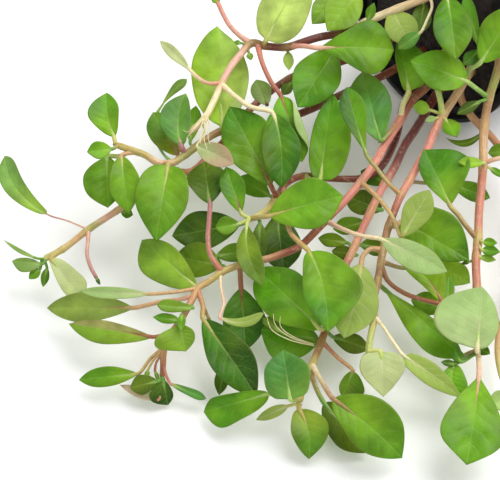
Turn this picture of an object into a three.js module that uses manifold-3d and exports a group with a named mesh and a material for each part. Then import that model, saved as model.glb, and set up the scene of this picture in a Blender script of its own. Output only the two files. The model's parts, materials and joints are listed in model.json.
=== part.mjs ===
// Marsh seedbox: rooted stems with paired leaves, growing out of a small black
// pot that lies on its side on a flat surface. Millimetres, +Z up, the surface
// at z = 0. +X is to the right of the photograph and +Y away from its camera.
import * as THREE from "three";
import { mergeVertices } from "three/addons/utils/BufferGeometryUtils.js";
import Module from "manifold-3d";

const wasm = await Module();
wasm.setup();

// Driving dimensions of the pot
const POT_MOUTH = 52;
const POT_BASE = 37;
const POT_HEIGHT = 50;
const POT_WALL = 1;
const LIP_HEIGHT = 4;
const LIP_STEP = 1.6;
const POT_SIDES = 36;
const SLOT_COUNT = 10;
const SLOT_WIDTH = 2.4;
const SLOT_LENGTH = 22;
const SLOT_START = 7;
const BASE_SLOT_LENGTH = 11;
const MEDIUM_RECESS = 4;
const MEDIUM_DOME = 1.2;
const GAP = 0.3;
const SEAM_TOLERANCE = 0.03;

// Driving dimensions of the plant
const STEM_WIDTH = 2.4;
const STEM_SIDES = 6;
const STEM_STEP = 12;
const PETIOLE_WIDTH = 1.1;
const LEAF_THICKNESS = 0.7;
const LEAN = 0.25;
const FOOT_SAMPLES = 200;

// The photograph's view: pixels across and down, and the camera that saw them
const VIEW_CENTRE = [250, 240];
const CAMERA_ELEVATION = THREE.MathUtils.degToRad(50);
const CAMERA_DISTANCE = 450;
const TARGET_HEIGHT = 10;
const PIXELS_PER_MM = 4.2;
const MOUTH_PIXEL = [433, 27];

const sightLine = new THREE.Vector3(0, Math.cos(CAMERA_ELEVATION), -Math.sin(CAMERA_ELEVATION));
const viewUp = new THREE.Vector3(0, Math.sin(CAMERA_ELEVATION), Math.cos(CAMERA_ELEVATION));
const eye = new THREE.Vector3(0, 0, TARGET_HEIGHT).addScaledVector(sightLine, -CAMERA_DISTANCE);

// The ray of one pixel of the photograph
function pixelRay([across, down]) {
  const ray = sightLine.clone().multiplyScalar(CAMERA_DISTANCE * PIXELS_PER_MM);
  ray.x += across - VIEW_CENTRE[0];
  return ray.addScaledVector(viewUp, VIEW_CENTRE[1] - down);
}

// The place seen at a pixel, at a height above the surface
function at([across, down, height]) {
  const ray = pixelRay([across, down]);
  return eye.clone().addScaledVector(ray, (height - eye.z) / ray.z);
}

// The pot lies on its lip and the edge of its base, with its mouth towards the
// near left, so its axis rises by half of its taper.
const potTilt = Math.atan((POT_MOUTH - POT_BASE) / 2 / (POT_HEIGHT - LIP_HEIGHT));
const mouthHeight = (POT_MOUTH / 2) * Math.cos(potTilt) + LIP_HEIGHT * Math.sin(potTilt);
const mouthCentre = at([...MOUTH_PIXEL, mouthHeight]);
const potAxis = new THREE.Vector3(
  -Math.SQRT1_2 * Math.cos(potTilt),
  -Math.SQRT1_2 * Math.cos(potTilt),
  Math.sin(potTilt),
);

// The place seen at a pixel on the face of the growing medium
function onMedium(pixel) {
  const ray = pixelRay(pixel);
  const clearance = MEDIUM_DOME + GAP + STEM_WIDTH / 2;
  const face = mouthCentre.clone().addScaledVector(potAxis, clearance - MEDIUM_RECESS);
  const distance = face.clone().sub(eye).dot(potAxis) / ray.dot(potAxis);
  return eye.clone().addScaledVector(ray, distance);
}

// Stems: the pixel where each leaves the medium, its width at either end in
// mm, then its route as pixel across, pixel down and height above the surface
const STEMS = {
  top: {
    start: [438, -8],
    width: [2.1, 1.6],
    route: [[420, 0, 36], [400, 8, 34], [375, 18, 32], [345, 32, 30.5], [320, 37, 30],
      [300, 43, 29.5], [288, 47, 29], [265, 46, 28], [252, 43, 28], [240, 55, 27.5],
      [230, 68, 27], [222, 83, 26], [212, 105, 25], [205, 118, 24], [195, 128, 23],
      [184, 135, 22]],
  },
  upper_left: {
    start: [420, 52],
    width: [2.1, 1.6],
    route: [[390, 72, 17], [343, 94, 17], [309, 110, 17.5], [260, 127, 18],
      [222, 131, 18.5], [205, 140, 19], [185, 155, 19.5], [172, 163, 20], [158, 163, 21],
      [145, 155, 22], [131, 150, 23], [114, 144, 23.5]],
  },
  left: {
    start: [408, 24],
    width: [2.1, 1.5],
    route: [[380, 46, 25], [340, 62, 20], [295, 76, 16], [267, 94, 14.5], [245, 115, 14],
      [225, 140, 14], [205, 160, 14], [190, 172, 14], [175, 172, 14], [150, 188, 13],
      [118, 210, 12.5], [89, 229, 12], [63, 249, 10.5], [42, 260, 9.5]],
  },
  inner: {
    start: [424, 68],
    width: [2.1, 1.5],
    route: [[405, 102, 9], [395, 140, 8], [380, 168, 8], [362, 178, 8], [345, 179, 8.5],
      [325, 178, 9], [303, 176, 10], [288, 182, 11], [277, 196, 12], [268, 209, 13],
      [258, 216, 14], [250, 219, 14.5]],
  },
  long: {
    start: [447, 48],
    width: [2.4, 1.3],
    route: [[438, 70, 17.5], [425, 88, 17.5], [412, 100, 17.5], [400, 120, 17],
      [383, 148, 16.5], [375, 163, 16.5], [361, 182, 16], [342, 204, 15.5], [326, 220, 15],
      [312, 235, 15], [300, 246, 14.5], [270, 258, 14], [240, 265, 13.5], [222, 272, 13.5],
      [208, 282, 13], [198, 288, 13], [192, 300, 13], [182, 318, 12], [170, 336, 10],
      [164, 350, 8], [163, 366, 6], [162, 380, 4.5]],
  },
  middle: {
    start: [456, 72],
    width: [2.3, 1.5],
    route: [[438, 92, 13], [424, 115, 13], [415, 130, 12.5], [405, 145, 12],
      [394, 168, 11.5], [380, 192, 11], [368, 217, 10.5], [352, 252, 10], [345, 267, 10],
      [336, 295, 10], [326, 328, 10], [320, 345, 9.5], [312, 365, 9], [305, 378, 8.5],
      [299, 404, 8]],
  },
  centre: {
    start: [478, 52],
    width: [2.2, 1.5],
    route: [[470, 70, 25], [458, 92, 22], [443, 115, 20], [433, 135, 19], [427, 150, 18.5],
      [418, 165, 18], [410, 180, 17.5], [401, 195, 17], [394, 212, 16.5], [388, 228, 16],
      [383, 250, 15.5], [381, 262, 15], [378, 280, 14.5], [374, 300, 14], [374, 318, 13.5],
      [370, 340, 13], [368, 356, 12.5]],
  },
  right: {
    start: [480, 30],
    width: [2.2, 1.9],
    route: [[490, 44, 34], [499, 60, 31], [496, 76, 28], [489, 98, 24.5], [484, 130, 20.5],
      [483, 165, 17.5], [481, 190, 15], [479, 212, 14], [478, 240, 13], [476, 262, 12],
      [477, 290, 11], [477, 320, 10], [478, 352, 9.5]],
  },
  back_left: {
    start: [424, -18],
    width: [2, 1.5],
    route: [[405, -19, 37], [385, -17, 35.5], [365, -14, 34], [345, -16, 32]],
  },
  far_right: {
    start: [468, 74],
    width: [2.1, 1.4],
    route: [[460, 93, 14], [470, 114, 11.5], [494, 140, 10], [513, 168, 9.5], [518, 205, 9],
      [514, 260, 8], [506, 310, 7], [498, 340, 6.5], [499, 365, 6], [507, 392, 4]],
  },
};

// Leaves: the pixel where the leaf stalk leaves its stem, then the points that
// the stalk passes and the base and tip of the blade, each as pixel across,
// pixel down and height, then the blade's width in mm and its pose:
// outline  name of the outline, elliptic where none is given
// sides    widths of the left and right half, as shares of an even half
// bow      rise of the midrib over the line from base to tip, in mm
// sway     swing of the midrib to the left, in mm
// cup      rise of the margins over the midrib, as a share of the half width
const LEAVES = {
  top: [
    { foot: [290, 46], via: [[304, 46, 31]], base: [318, 48, 31.5], tip: [394, 50, 30],
      width: 13.6, bow: 1.4, cup: 0.08, outline: "obovate" },
    { foot: [264, 46], via: [], base: [266, 40, 30.5], tip: [308, -35, 44], width: 12.2,
      bow: 1, cup: 0.08, outline: "ovate", sides: [0.9, 1.1] },
    { foot: [255, 48], via: [[262, 62, 28], [271, 82, 26]], base: [281, 96, 24.5],
      tip: [302, 162, 17.5], width: 10.4, bow: 1.5, cup: 0.1 },
    { foot: [226, 86], via: [[236, 97, 26.5], [251, 107, 26]], base: [273, 113, 24.8],
      tip: [281, 188, 17], width: 9.4, bow: 1.5, sway: 1, cup: 0.08, outline: "round" },
    { foot: [203, 121], via: [[204, 134, 24]], base: [197, 147, 24], tip: [234, 164, 23],
      width: 5.6, bow: 0.8, cup: 0.2, outline: "round" },
    { foot: [436, -7], via: [], base: [447, -4, 41.5], tip: [456, 60, 37], width: 9.4,
      bow: 1, cup: 0.15 },
  ],
  upper_left: [
    { foot: [222, 131], via: [], base: [222, 127, 20], tip: [217, 27, 24], width: 14.2,
      bow: 1, cup: 0.06, outline: "broad" },
    { foot: [187, 155], via: [], base: [181, 146, 21.5], tip: [186, 94, 26], width: 7.6,
      bow: 1, sway: 1.2, cup: 0.15, outline: "broad", sides: [1.2, 0.8] },
    { foot: [172, 162], via: [[178, 158, 18.5]], base: [178, 155, 18.5],
      tip: [153, 112, 20.5], width: 8, cup: 0.15, outline: "round" },
    { foot: [164, 163], via: [], base: [168, 165, 22.5], tip: [156, 242, 16], width: 12.6,
      bow: 1.2, cup: 0.08, outline: "ovate", sides: [0.97, 1.03] },
    { foot: [136, 152], via: [], base: [121, 156, 22.8], tip: [129, 213, 17], width: 7.4,
      bow: 1.2, cup: 0.2, outline: "round" },
    { foot: [131, 150], via: [[121, 156, 21]], base: [107, 157, 20], tip: [108, 208, 15],
      width: 9.6, bow: 1, cup: 0.12, outline: "round", sides: [0.8, 1.2] },
    { foot: [116, 144], via: [], base: [114, 137, 24], tip: [107, 93, 29], width: 7.4,
      bow: 1, sway: 0.6, cup: 0.3, outline: "round", sides: [1.25, 0.75] },
  ],
  left: [
    { foot: [86, 227], via: [[68, 221, 13]], base: [47, 214, 14], tip: [5, 156, 18],
      width: 5.4, bow: 1, sway: 2.4, cup: 0.2, outline: "strap" },
    { foot: [62, 249], via: [], base: [51, 259, 10.5], tip: [81, 300, 5], width: 5.8,
      bow: 1, cup: 0.12, outline: "strap", sides: [1.25, 0.75] },
  ],
  inner: [
    { foot: [247, 217], via: [], base: [241, 213, 16], tip: [226, 167, 21], width: 5.8,
      bow: 0.8, cup: 0.2 },
    { foot: [277, 197], via: [[275, 194, 14]], base: [271, 186, 16], tip: [230, 107, 24],
      width: 12.2, bow: 1, cup: 0.08 },
    { foot: [249, 221], via: [], base: [247, 225, 16.5], tip: [263, 287, 16], width: 5.8,
      bow: 0.8, sway: -1.4, cup: 0.2 },
    { foot: [252, 218], via: [[260, 217, 18]], base: [269, 216, 19.5], tip: [343, 196, 23],
      width: 12, bow: 1.2, cup: 0.1 },
    { foot: [283, 188], via: [[286, 211, 14], [290, 232, 17], [300, 243, 19.5]],
      base: [309, 252, 20.5], tip: [328, 332, 18], width: 13.2, bow: 1.2, sway: 1.2,
      cup: 0.1, outline: "round", sides: [1.3, 0.7] },
    { foot: [305, 176], via: [[311, 180, 11.5]], base: [320, 181, 13], tip: [332, 92, 22.6],
      width: 10, cup: 0.08, outline: "ovate", sides: [0.75, 1.25] },
  ],
  long: [
    { foot: [398, 118], via: [[403, 105, 19.5]], base: [409, 91, 20.5], tip: [398, 40, 25],
      width: 7.6, bow: 0.8, cup: 0.12, outline: "full", sides: [0.5, 1.5] },
    { foot: [362, 183], via: [[375, 195, 19], [388, 210, 19.5], [395, 222, 19]],
      base: [402, 237, 19], tip: [430, 190, 24], width: 6.6, bow: 0.6, cup: 0.1 },
    { foot: [327, 221], via: [[345, 230, 18], [362, 236, 20]], base: [381, 239, 21],
      tip: [447, 272, 21.5], width: 6.6, bow: 0.8, cup: 0.1, sides: [0.88, 1.12] },
    { foot: [199, 290], via: [[203, 306, 12.8]], base: [203, 319, 12], tip: [257, 396, 6.5],
      width: 9.6, bow: 1, cup: 0.12 },
    { foot: [220, 269], via: [[211, 256, 16], [208, 240, 16.5], [209, 222, 16.5]],
      base: [210, 204, 16.5], tip: [204, 162, 17.5], width: 9.4, bow: 0.5, cup: 0.08 },
    { foot: [197, 289], via: [], base: [196, 287, 11.5], tip: [142, 240, 10], width: 9.4,
      bow: 0.8, cup: 0.1, outline: "round", sides: [1.25, 0.75] },
    { foot: [197, 288], via: [[175, 292, 15]], base: [151, 294, 15], tip: [79, 291, 13],
      width: 2.9, bow: 0.8, sway: 0.3, cup: 0.3 },
    { foot: [194, 297], via: [[182, 299, 12], [160, 302, 11.5]], base: [133, 308, 11],
      tip: [47, 308, 7], width: 7, bow: 0.8, cup: 0.15 },
    { foot: [176, 328], via: [[166, 334, 10.5]], base: [152, 337, 10], tip: [69, 324, 8],
      width: 5.4, bow: 1.2, cup: 0.15, sides: [1.3, 0.7] },
    { foot: [179, 324], via: [], base: [180, 325, 14.6], tip: [186, 351, 12.6], width: 9.5,
      bow: 0.6, cup: 0.12, outline: "round", sides: [0.6, 1.4] },
    { foot: [164, 346], via: [[151, 358, 6.5]], base: [138, 374, 6], tip: [79, 380, 4],
      width: 4.7, bow: 0.8, cup: 0.25 },
  ],
  middle: [
    { foot: [325, 326], via: [], base: [320, 329, 12], tip: [257, 269, 13], width: 12,
      bow: 1.2, cup: 0.1, outline: "round", sides: [1.05, 0.95] },
    { foot: [299, 398], via: [], base: [290, 399, 11.5], tip: [283, 350, 17], width: 10.4,
      bow: 0.8, cup: 0.15, outline: "full" },
    { foot: [299, 409], via: [], base: [299, 409, 7.5], tip: [309, 459, 2.5], width: 8.4,
      bow: 1, sway: 1, cup: 0.12, outline: "broad", sides: [1.12, 0.88] },
    { foot: [314, 366], via: [[322, 382, 11]], base: [333, 399, 11.5], tip: [402, 458, 5],
      width: 11.8, bow: 1.4, sway: 0.5, cup: 0.1, outline: "round", sides: [1.12, 0.88] },
    { foot: [297, 401], via: [[284, 394, 8.5]], base: [269, 394, 8.5], tip: [204, 412, 3.5],
      width: 7.4, bow: 1.2, cup: 0.15, outline: "strap", sides: [1.25, 0.75] },
  ],
  centre: [
    { foot: [398, 194], via: [[389, 184, 20], [378, 170, 21]], base: [367, 156, 22.5],
      tip: [347, 87, 29], width: 6.2, bow: 0.6, sway: 0.3, cup: 0.2, outline: "obovate" },
    { foot: [389, 226], via: [[396, 226, 14]], base: [402, 222, 13], tip: [469, 260, 13],
      width: 12, bow: 1, cup: 0.1, outline: "full", sides: [1.2, 0.8] },
    { foot: [383, 265], via: [[388, 281, 13.5], [404, 293, 13.5], [424, 300, 14]],
      base: [443, 303, 14.5], tip: [394, 250, 17], width: 7.6, bow: 0.8, sway: -1,
      cup: 0.12, sides: [0.6, 1.4] },
    { foot: [380, 282], via: [], base: [383, 288, 11], tip: [463, 357, 8], width: 7.5,
      bow: 1, cup: 0.1, outline: "obovate", sides: [0.6, 1.35] },
    { foot: [369, 351], via: [], base: [381, 352, 13.5], tip: [383, 397, 9], width: 10.2,
      bow: 0.6, cup: 0.12, outline: "deltoid" },
    { foot: [374, 316], via: [[384, 328, 14.5], [394, 343, 14.5]], base: [404, 356, 14],
      tip: [462, 398, 9], width: 4.9, bow: 1, cup: 0.2, outline: "ovate" },
  ],
  right: [
    { foot: [487, 98], via: [[477, 89, 27]], base: [466, 81, 28.5], tip: [410, 61, 32],
      width: 9.8, bow: 0.8, cup: 0.12, outline: "broad" },
    { foot: [475, 239], via: [[466, 226, 15], [458, 215, 16]], base: [450, 206, 17],
      tip: [424, 150, 21], width: 12, bow: 0.8, cup: 0.1, outline: "rhombic",
      sides: [0.58, 1.42] },
    { foot: [478, 352], via: [], base: [477, 349, 13.6], tip: [482, 287, 18], width: 15,
      bow: 0.8, cup: 0.1, outline: "ovate", sides: [1.43, 0.57] },
    { foot: [478, 354], via: [[479, 364, 10.4]], base: [479, 375, 11], tip: [467, 464, 9],
      width: 14.2, bow: 1.4, cup: 0.08, outline: "obovate" },
  ],
  back_left: [
    { foot: [364, -13], via: [], base: [360, -8, 36], tip: [327, 31, 33], width: 9,
      bow: 0.6, cup: 0.15 },
  ],
};

// Small leaves, buds and bare stalks, each grown in one with its stem
const LEAFLETS = {
  top: [
    { foot: [338, 34], via: [[337, 43, 27.5]], base: [335, 51, 26], tip: [298, 107, 22.5],
      width: 11.4, bow: 0.8, cup: 0.1, outline: "round" },
    { foot: [219, 83], via: [[207, 83, 27.5], [197, 77, 28]], base: [190, 70, 28],
      tip: [160, 41, 30], width: 2.8, bow: 0.6, cup: 0.3 },
    { foot: [250, 43], via: [[240, 36, 29], [230, 26, 30.5], [223, 14, 32]],
      base: [218, 3, 33.5], tip: [214, -4, 34], width: 2.4 },
    { foot: [287, 48], via: [], base: [288, 52, 27.5], tip: [289, 70, 26], width: 2.6 },
    { foot: [247, 47], via: [], base: [249, 53, 27.5], tip: [251, 60, 27], width: 1.7 },
    { foot: [246, 45], via: [], base: [241, 43, 29], tip: [234, 42, 29.5], width: 1.2 },
    { foot: [424, -2], via: [], base: [424, 2, 34], tip: [419, 34, 31], width: 5, cup: 0.15 },
    { foot: [398, 9], via: [], base: [392, 11, 33], tip: [410, 46, 31], width: 8.2,
      bow: 0.5, cup: 0.1, outline: "round" },
    { foot: [430, -4], via: [[432, 7, 36.8], [427, 20, 36.2]], base: [421, 32, 35],
      tip: [398, 49, 31.5], width: 3.6 },
    { foot: [366, 22], via: [], base: [368, 20, 33.5], tip: [374, 3, 37], width: 2.4,
      cup: 0.2 },
  ],
  upper_left: [
    { foot: [193, 149], via: [], base: [190, 142, 17.5], tip: [196, 106, 18.5], width: 3.8,
      cup: 0.2 },
    { foot: [118, 146], via: [], base: [112, 149, 24], tip: [87, 152, 25], width: 4.4,
      cup: 0.3 },
    { foot: [172, 163], via: [[162, 152, 16.5], [154, 134, 17]], base: [157, 113, 18],
      tip: [187, 79, 23], width: 2.5, sway: 0.6, cup: 0.2, outline: "spoon" },
  ],
  left: [
    { foot: [266, 95], via: [], base: [267, 105, 14.5], tip: [256, 80, 17], width: 5.2,
      cup: 0.15, outline: "round" },
    { foot: [48, 257], via: [], base: [42, 264, 9.4], tip: [12, 261, 10], width: 3.6,
      cup: 0.2, sides: [1.4, 0.6] },
    { foot: [43, 259], via: [], base: [36, 258, 10.8], tip: [4, 240, 12], width: 1,
      sway: 0.4 },
    { foot: [45, 259], via: [], base: [47, 268, 8.2], tip: [43, 287, 5.2], width: 2 },
    { foot: [88, 229], via: [[88, 240, 11.5], [87, 254, 11], [91, 268, 10.5]],
      base: [96, 277, 10], tip: [100, 285, 9], width: 0.9 },
    { foot: [118, 208], via: [], base: [121, 211, 12], tip: [133, 215, 10.5], width: 2.6 },
    { foot: [43, 260], via: [], base: [40, 269, 8], tip: [29, 279, 6.8], width: 2.4 },
    { foot: [290, 80], via: [], base: [291, 82, 15.5], tip: [283, 95, 14.5], width: 3 },
  ],
  inner: [
    { foot: [262, 213], via: [], base: [240, 224, 11], tip: [172, 236, 9], width: 9.5,
      cup: 0.08 },
    { foot: [248, 218], via: [], base: [239, 224, 16], tip: [215, 228, 16], width: 4.4,
      cup: 0.4 },
    { foot: [257, 217], via: [], base: [260, 222, 12.5], tip: [259, 262, 9.5], width: 4.2 },
    { foot: [274, 200], via: [], base: [277, 216, 10], tip: [284, 272, 6.5], width: 10,
      cup: 0.1, outline: "round" },
    { foot: [277, 197], via: [], base: [270, 196, 10.5], tip: [238, 177, 10], width: 5.6 },
  ],
  long: [
    { foot: [397, 121], via: [[389, 133, 18.6]], base: [380, 141, 18.5], tip: [362, 72, 22],
      width: 10, bow: 0.5, cup: 0.1, outline: "round" },
    { foot: [240, 267], via: [], base: [241, 288, 10], tip: [246, 350, 4], width: 10,
      cup: 0.1 },
    { foot: [162, 377], via: [], base: [163, 379, 5.5], tip: [168, 405, 1.2], width: 5.5,
      bow: 0.6, cup: 0.2, sides: [0.6, 1.4] },
    { foot: [221, 274], via: [[221, 288, 12.8], [224, 304, 13.5]], base: [220, 318, 14],
      tip: [264, 313, 14], width: 2.4, sway: -1.6, outline: "strap" },
    { foot: [223, 271], via: [], base: [222, 266, 9.5], tip: [175, 256, 6.5], width: 8.8,
      cup: 0.1 },
    { foot: [190, 305], via: [], base: [193, 308, 14], tip: [157, 305, 15.5], width: 3,
      cup: 0.2, outline: "strap" },
    { foot: [184, 317], via: [], base: [179, 320, 12.8], tip: [153, 317, 13.4], width: 2.4,
      cup: 0.2 },
    { foot: [183, 316], via: [], base: [182, 315, 15], tip: [181, 331, 17], width: 1.9,
      cup: 0.3 },
    { foot: [163, 360], via: [[165, 372, 6.5]], base: [171, 384, 5.5], tip: [206, 399, 3.5],
      width: 2, cup: 0.2, outline: "strap" },
    { foot: [162, 379], via: [], base: [158, 400, 3], tip: [120, 385, 3.5], width: 2.4,
      cup: 0.2 },
    { foot: [162, 377], via: [], base: [158, 381, 6], tip: [130, 388, 4.5], width: 4.6,
      cup: 0.2 },
    { foot: [164, 348], via: [[155, 358, 7], [150, 366, 6.8]], base: [148, 370, 6.5],
      tip: [146, 379, 6], width: 1.2, cup: 0.2 },
    { foot: [163, 354], via: [[157, 361, 6.5]], base: [155, 371, 6], tip: [159, 381, 5.5],
      width: 1 },
    { foot: [223, 271], via: [[217, 262, 11]], base: [216, 256, 10.5], tip: [250, 250, 11],
      width: 4.6, cup: 0.1 },
    { foot: [198, 291], via: [[206, 312, 9.5], [217, 338, 6.5]], base: [226, 360, 5],
      tip: [219, 395, 2.5], width: 3.4 },
  ],
  middle: [
    { foot: [311, 370], via: [[317, 390, 6.5]], base: [324, 403, 5.5], tip: [367, 453, 1.5],
      width: 8.5, bow: 0.6, cup: 0.12, outline: "round" },
    { foot: [320, 343], via: [], base: [319, 340, 8], tip: [261, 330, 7], width: 10.4,
      cup: 0.12, outline: "round", sides: [1.25, 0.75] },
    { foot: [318, 348], via: [[296, 338, 9.5]], base: [281, 332, 10], tip: [263, 318, 10.5],
      width: 2.4, cup: 0.2, outline: "strap" },
    { foot: [297, 405], via: [], base: [288, 406, 8], tip: [256, 420, 5], width: 2.6,
      cup: 0.3 },
    { foot: [322, 341], via: [[338, 358, 8]], base: [353, 371, 7], tip: [342, 397, 4],
      width: 5.8, cup: 0.15, outline: "round", sides: [1.42, 0.58] },
    { foot: [325, 330], via: [], base: [333, 337, 8.5], tip: [369, 349, 6], width: 4.6,
      cup: 0.1, outline: "round" },
    { foot: [372, 208], via: [], base: [382, 210, 8.5], tip: [347, 197, 5.5], width: 6.6,
      outline: "round" },
    { foot: [369, 216], via: [], base: [366, 222, 8.5], tip: [333, 229, 6.5], width: 4.4 },
    { foot: [355, 245], via: [], base: [360, 245, 8.5], tip: [390, 247, 7.5], width: 5 },
    { foot: [385, 182], via: [], base: [388, 184, 6.6], tip: [361, 171, 5], width: 5 },
    { foot: [352, 251], via: [], base: [348, 243, 8], tip: [318, 238, 7], width: 3.6 },
    { foot: [350, 256], via: [], base: [357, 255, 7.5], tip: [332, 251, 6], width: 3.6 },
  ],
  centre: [
    { foot: [369, 350], via: [], base: [368, 353, 12.6], tip: [364, 366, 11.5], width: 2,
      cup: 0.2 },
    { foot: [443, 115], via: [[436, 112, 21]], base: [430, 110, 21.5],
      tip: [413, 106, 22.5], width: 3.6, cup: 0.25, outline: "round" },
    { foot: [443, 117], via: [], base: [446, 120, 21], tip: [457, 137, 21.5], width: 4.4,
      cup: 0.25, outline: "round" },
    { foot: [442, 117], via: [], base: [436, 118, 20.8], tip: [425, 121, 21], width: 1.8 },
    { foot: [407, 181], via: [[425, 183, 13.5]], base: [452, 184, 11], tip: [490, 198, 9],
      width: 4.8, cup: 0.1 },
    { foot: [382, 262], via: [[405, 268, 10.5]], base: [436, 262, 8.5], tip: [470, 283, 7],
      width: 6 },
    { foot: [383, 251], via: [[371, 249, 15.5], [363, 256, 15.5]], base: [361, 265, 15.5],
      tip: [344, 338, 15], width: 11, sway: 0.5, cup: 0.08, outline: "round" },
    { foot: [443, 116], via: [[441, 104, 23]], base: [438, 90, 25], tip: [436, 74, 27],
      width: 3 },
    { foot: [466, 77], via: [[471, 69, 29]], base: [481, 62, 33], tip: [518, 6, 44],
      width: 9.6, bow: 1, cup: 0.1, outline: "round" },
  ],
  right: [
    { foot: [488, 42], via: [], base: [478, 44, 35.5], tip: [465, -4, 42], width: 3.4,
      cup: 0.2, outline: "strap" },
    { foot: [485, 164], via: [], base: [484, 163, 20], tip: [458, 162, 23], width: 2.8,
      cup: 0.1 },
    { foot: [479, 240], via: [], base: [483, 242, 14.5], tip: [497, 243, 16], width: 2.2,
      cup: 0.2 },
    { foot: [479, 242], via: [], base: [482, 250, 13.8], tip: [500, 252, 14.5], width: 2.6,
      cup: 0.2 },
    { foot: [477, 243], via: [], base: [480, 257, 12.8], tip: [496, 260, 12.5], width: 1.8,
      cup: 0.2 },
    { foot: [474, 256], via: [], base: [471, 261, 12], tip: [461, 264, 11], width: 1 },
    { foot: [477, 350], via: [[467, 354, 10.5]], base: [454, 364, 10.5], tip: [461, 398, 8],
      width: 6.2, sway: -1.1, cup: 0.2, outline: "round" },
    { foot: [467, 354], via: [], base: [461, 362, 11.5], tip: [455, 351, 13], width: 2.8,
      cup: 0.2 },
    { foot: [459, 363], via: [], base: [455, 364, 11], tip: [441, 362, 11.5], width: 1.6 },
    { foot: [478, 351], via: [], base: [479, 348, 10], tip: [490, 354, 11], width: 2.4 },
    { foot: [486, 163], via: [[496, 159, 19]], base: [507, 157, 19.5], tip: [540, 150, 21],
      width: 8, cup: 0.1 },
    { foot: [486, 166], via: [], base: [490, 168, 17], tip: [505, 177, 16.5], width: 1.8 },
    { foot: [487, 99], via: [], base: [481, 101, 26], tip: [457, 114, 24], width: 2.8 },
    { foot: [490, 46], via: [], base: [480, 50, 33], tip: [463, 65, 31.5], width: 3.4 },
    { foot: [475, 290], via: [[462, 304, 13]], base: [448, 307, 13.2],
      tip: [449, 277, 14.5], width: 2.8 },
    { foot: [485, 126], via: [], base: [484, 131, 18.5], tip: [446, 138, 15], width: 1.8,
      sway: 2.2, cup: 0.2 },
    { foot: [476, 302], via: [[463, 307, 8]], base: [449, 308, 8], tip: [411, 300, 9],
      width: 5.6, cup: 0.1 },
  ],
  back_left: [
    { foot: [352, -15], via: [], base: [344, -12, 33.5], tip: [312, 24, 30.5], width: 6.5 },
  ],
  far_right: [
    { foot: [520, 148], via: [], base: [513, 150, 13], tip: [488, 153, 12], width: 4,
      cup: 0.15 },
    { foot: [508, 392], via: [], base: [511, 396, 5], tip: [489, 405, 6], width: 4.6,
      cup: 0.2 },
    { foot: [519, 170], via: [], base: [524, 176, 13], tip: [548, 205, 14], width: 8,
      cup: 0.1 },
    { foot: [513, 262], via: [], base: [518, 266, 9], tip: [545, 300, 8], width: 8, cup: 0.1 },
  ],
};

// An outline's half width grows as a power of the share from the base, and
// falls to the tip as one less a power of that share.
const OUTLINES = {
  elliptic: [0.72, 2.6],
  ovate: [0.38, 2],
  broad: [0.5, 2.2],
  full: [0.22, 3.4],
  obovate: [1.1, 4],
  round: [0.58, 3],
  strap: [0.45, 8],
  rhombic: [0.9, 2.2],
  deltoid: [0.32, 1.4],
  spoon: [1.7, 7],
  bud: [0.55, 2],
};
const LEAST_HALF_WIDTH = 0.25;

// Shares of a blade's length where its cross-sections stand
const LEAF_STATIONS = [0, 0.15, 0.45, 0.8, 1];
const LEAFLET_STATIONS = [0, 0.3, 0.7, 1];
const BUD_STATIONS = [0, 0.45, 1];
const BUD_WIDTH = 2.7;

// A closed solid through rings of points, each ring anticlockwise seen from
// the end that the rings run towards
function loft(rings) {
  const sides = rings[0].length;
  const places = rings.flat().flatMap((place) => place.toArray());
  const faces = [];
  for (let ring = 0; ring < rings.length - 1; ring += 1) {
    for (let side = 0; side < sides; side += 1) {
      const here = ring * sides + side;
      const beside = ring * sides + ((side + 1) % sides);
      faces.push(here, beside, beside + sides, here, beside + sides, here + sides);
    }
  }
  const last = (rings.length - 1) * sides;
  for (let side = 1; side < sides - 1; side += 1) {
    faces.push(0, side + 1, side, last, last + side, last + side + 1);
  }
  const solid = new THREE.BufferGeometry();
  solid.setAttribute("position", new THREE.Float32BufferAttribute(places, 3));
  solid.setIndex(faces);
  return solid;
}

// No part of the plant reaches below the surface that it lies on
function aboveSurface(place, clearance) {
  if (place.z < clearance) place.z = clearance;
  return place;
}

function smoothCurve(places) {
  return new THREE.CatmullRomCurve3(places, false, "centripetal");
}

// Each stem as evenly spaced middles along its smooth route
const stemMiddles = {};
for (const [name, { start, route }] of Object.entries(STEMS)) {
  const curve = smoothCurve([onMedium(start), ...route.map(at)]);
  stemMiddles[name] = curve.getSpacedPoints(Math.round(curve.getLength() / STEM_STEP));
}

function middleAt(middles, share) {
  const place = share * (middles.length - 1);
  const before = Math.min(Math.floor(place), middles.length - 2);
  return middles[before].clone().lerp(middles[before + 1], place - before);
}

function directionAt(middles, share) {
  const reach = 1 / (middles.length - 1);
  const ahead = middleAt(middles, Math.min(1, share + reach));
  return ahead.sub(middleAt(middles, Math.max(0, share - reach))).normalize();
}

function stemRadius(name, share) {
  return THREE.MathUtils.lerp(...STEMS[name].width, share) / 2;
}

// A stem: a tapered tube along its middles
function stemSolid(name) {
  const middles = stemMiddles[name];
  const rings = middles.map((centre, index) => {
    const share = index / (middles.length - 1);
    const along = directionAt(middles, share);
    const across = new THREE.Vector3(0, 0, 1).cross(along).normalize();
    const over = new THREE.Vector3().crossVectors(along, across);
    const radius = stemRadius(name, share);
    const ring = [];
    for (let side = 0; side < STEM_SIDES; side += 1) {
      const angle = (2 * Math.PI * side) / STEM_SIDES;
      const place = centre.clone()
        .addScaledVector(across, radius * Math.cos(angle))
        .addScaledVector(over, radius * Math.sin(angle));
      ring.push(aboveSurface(place, 0));
    }
    return ring;
  });
  return loft(rings);
}

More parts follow.
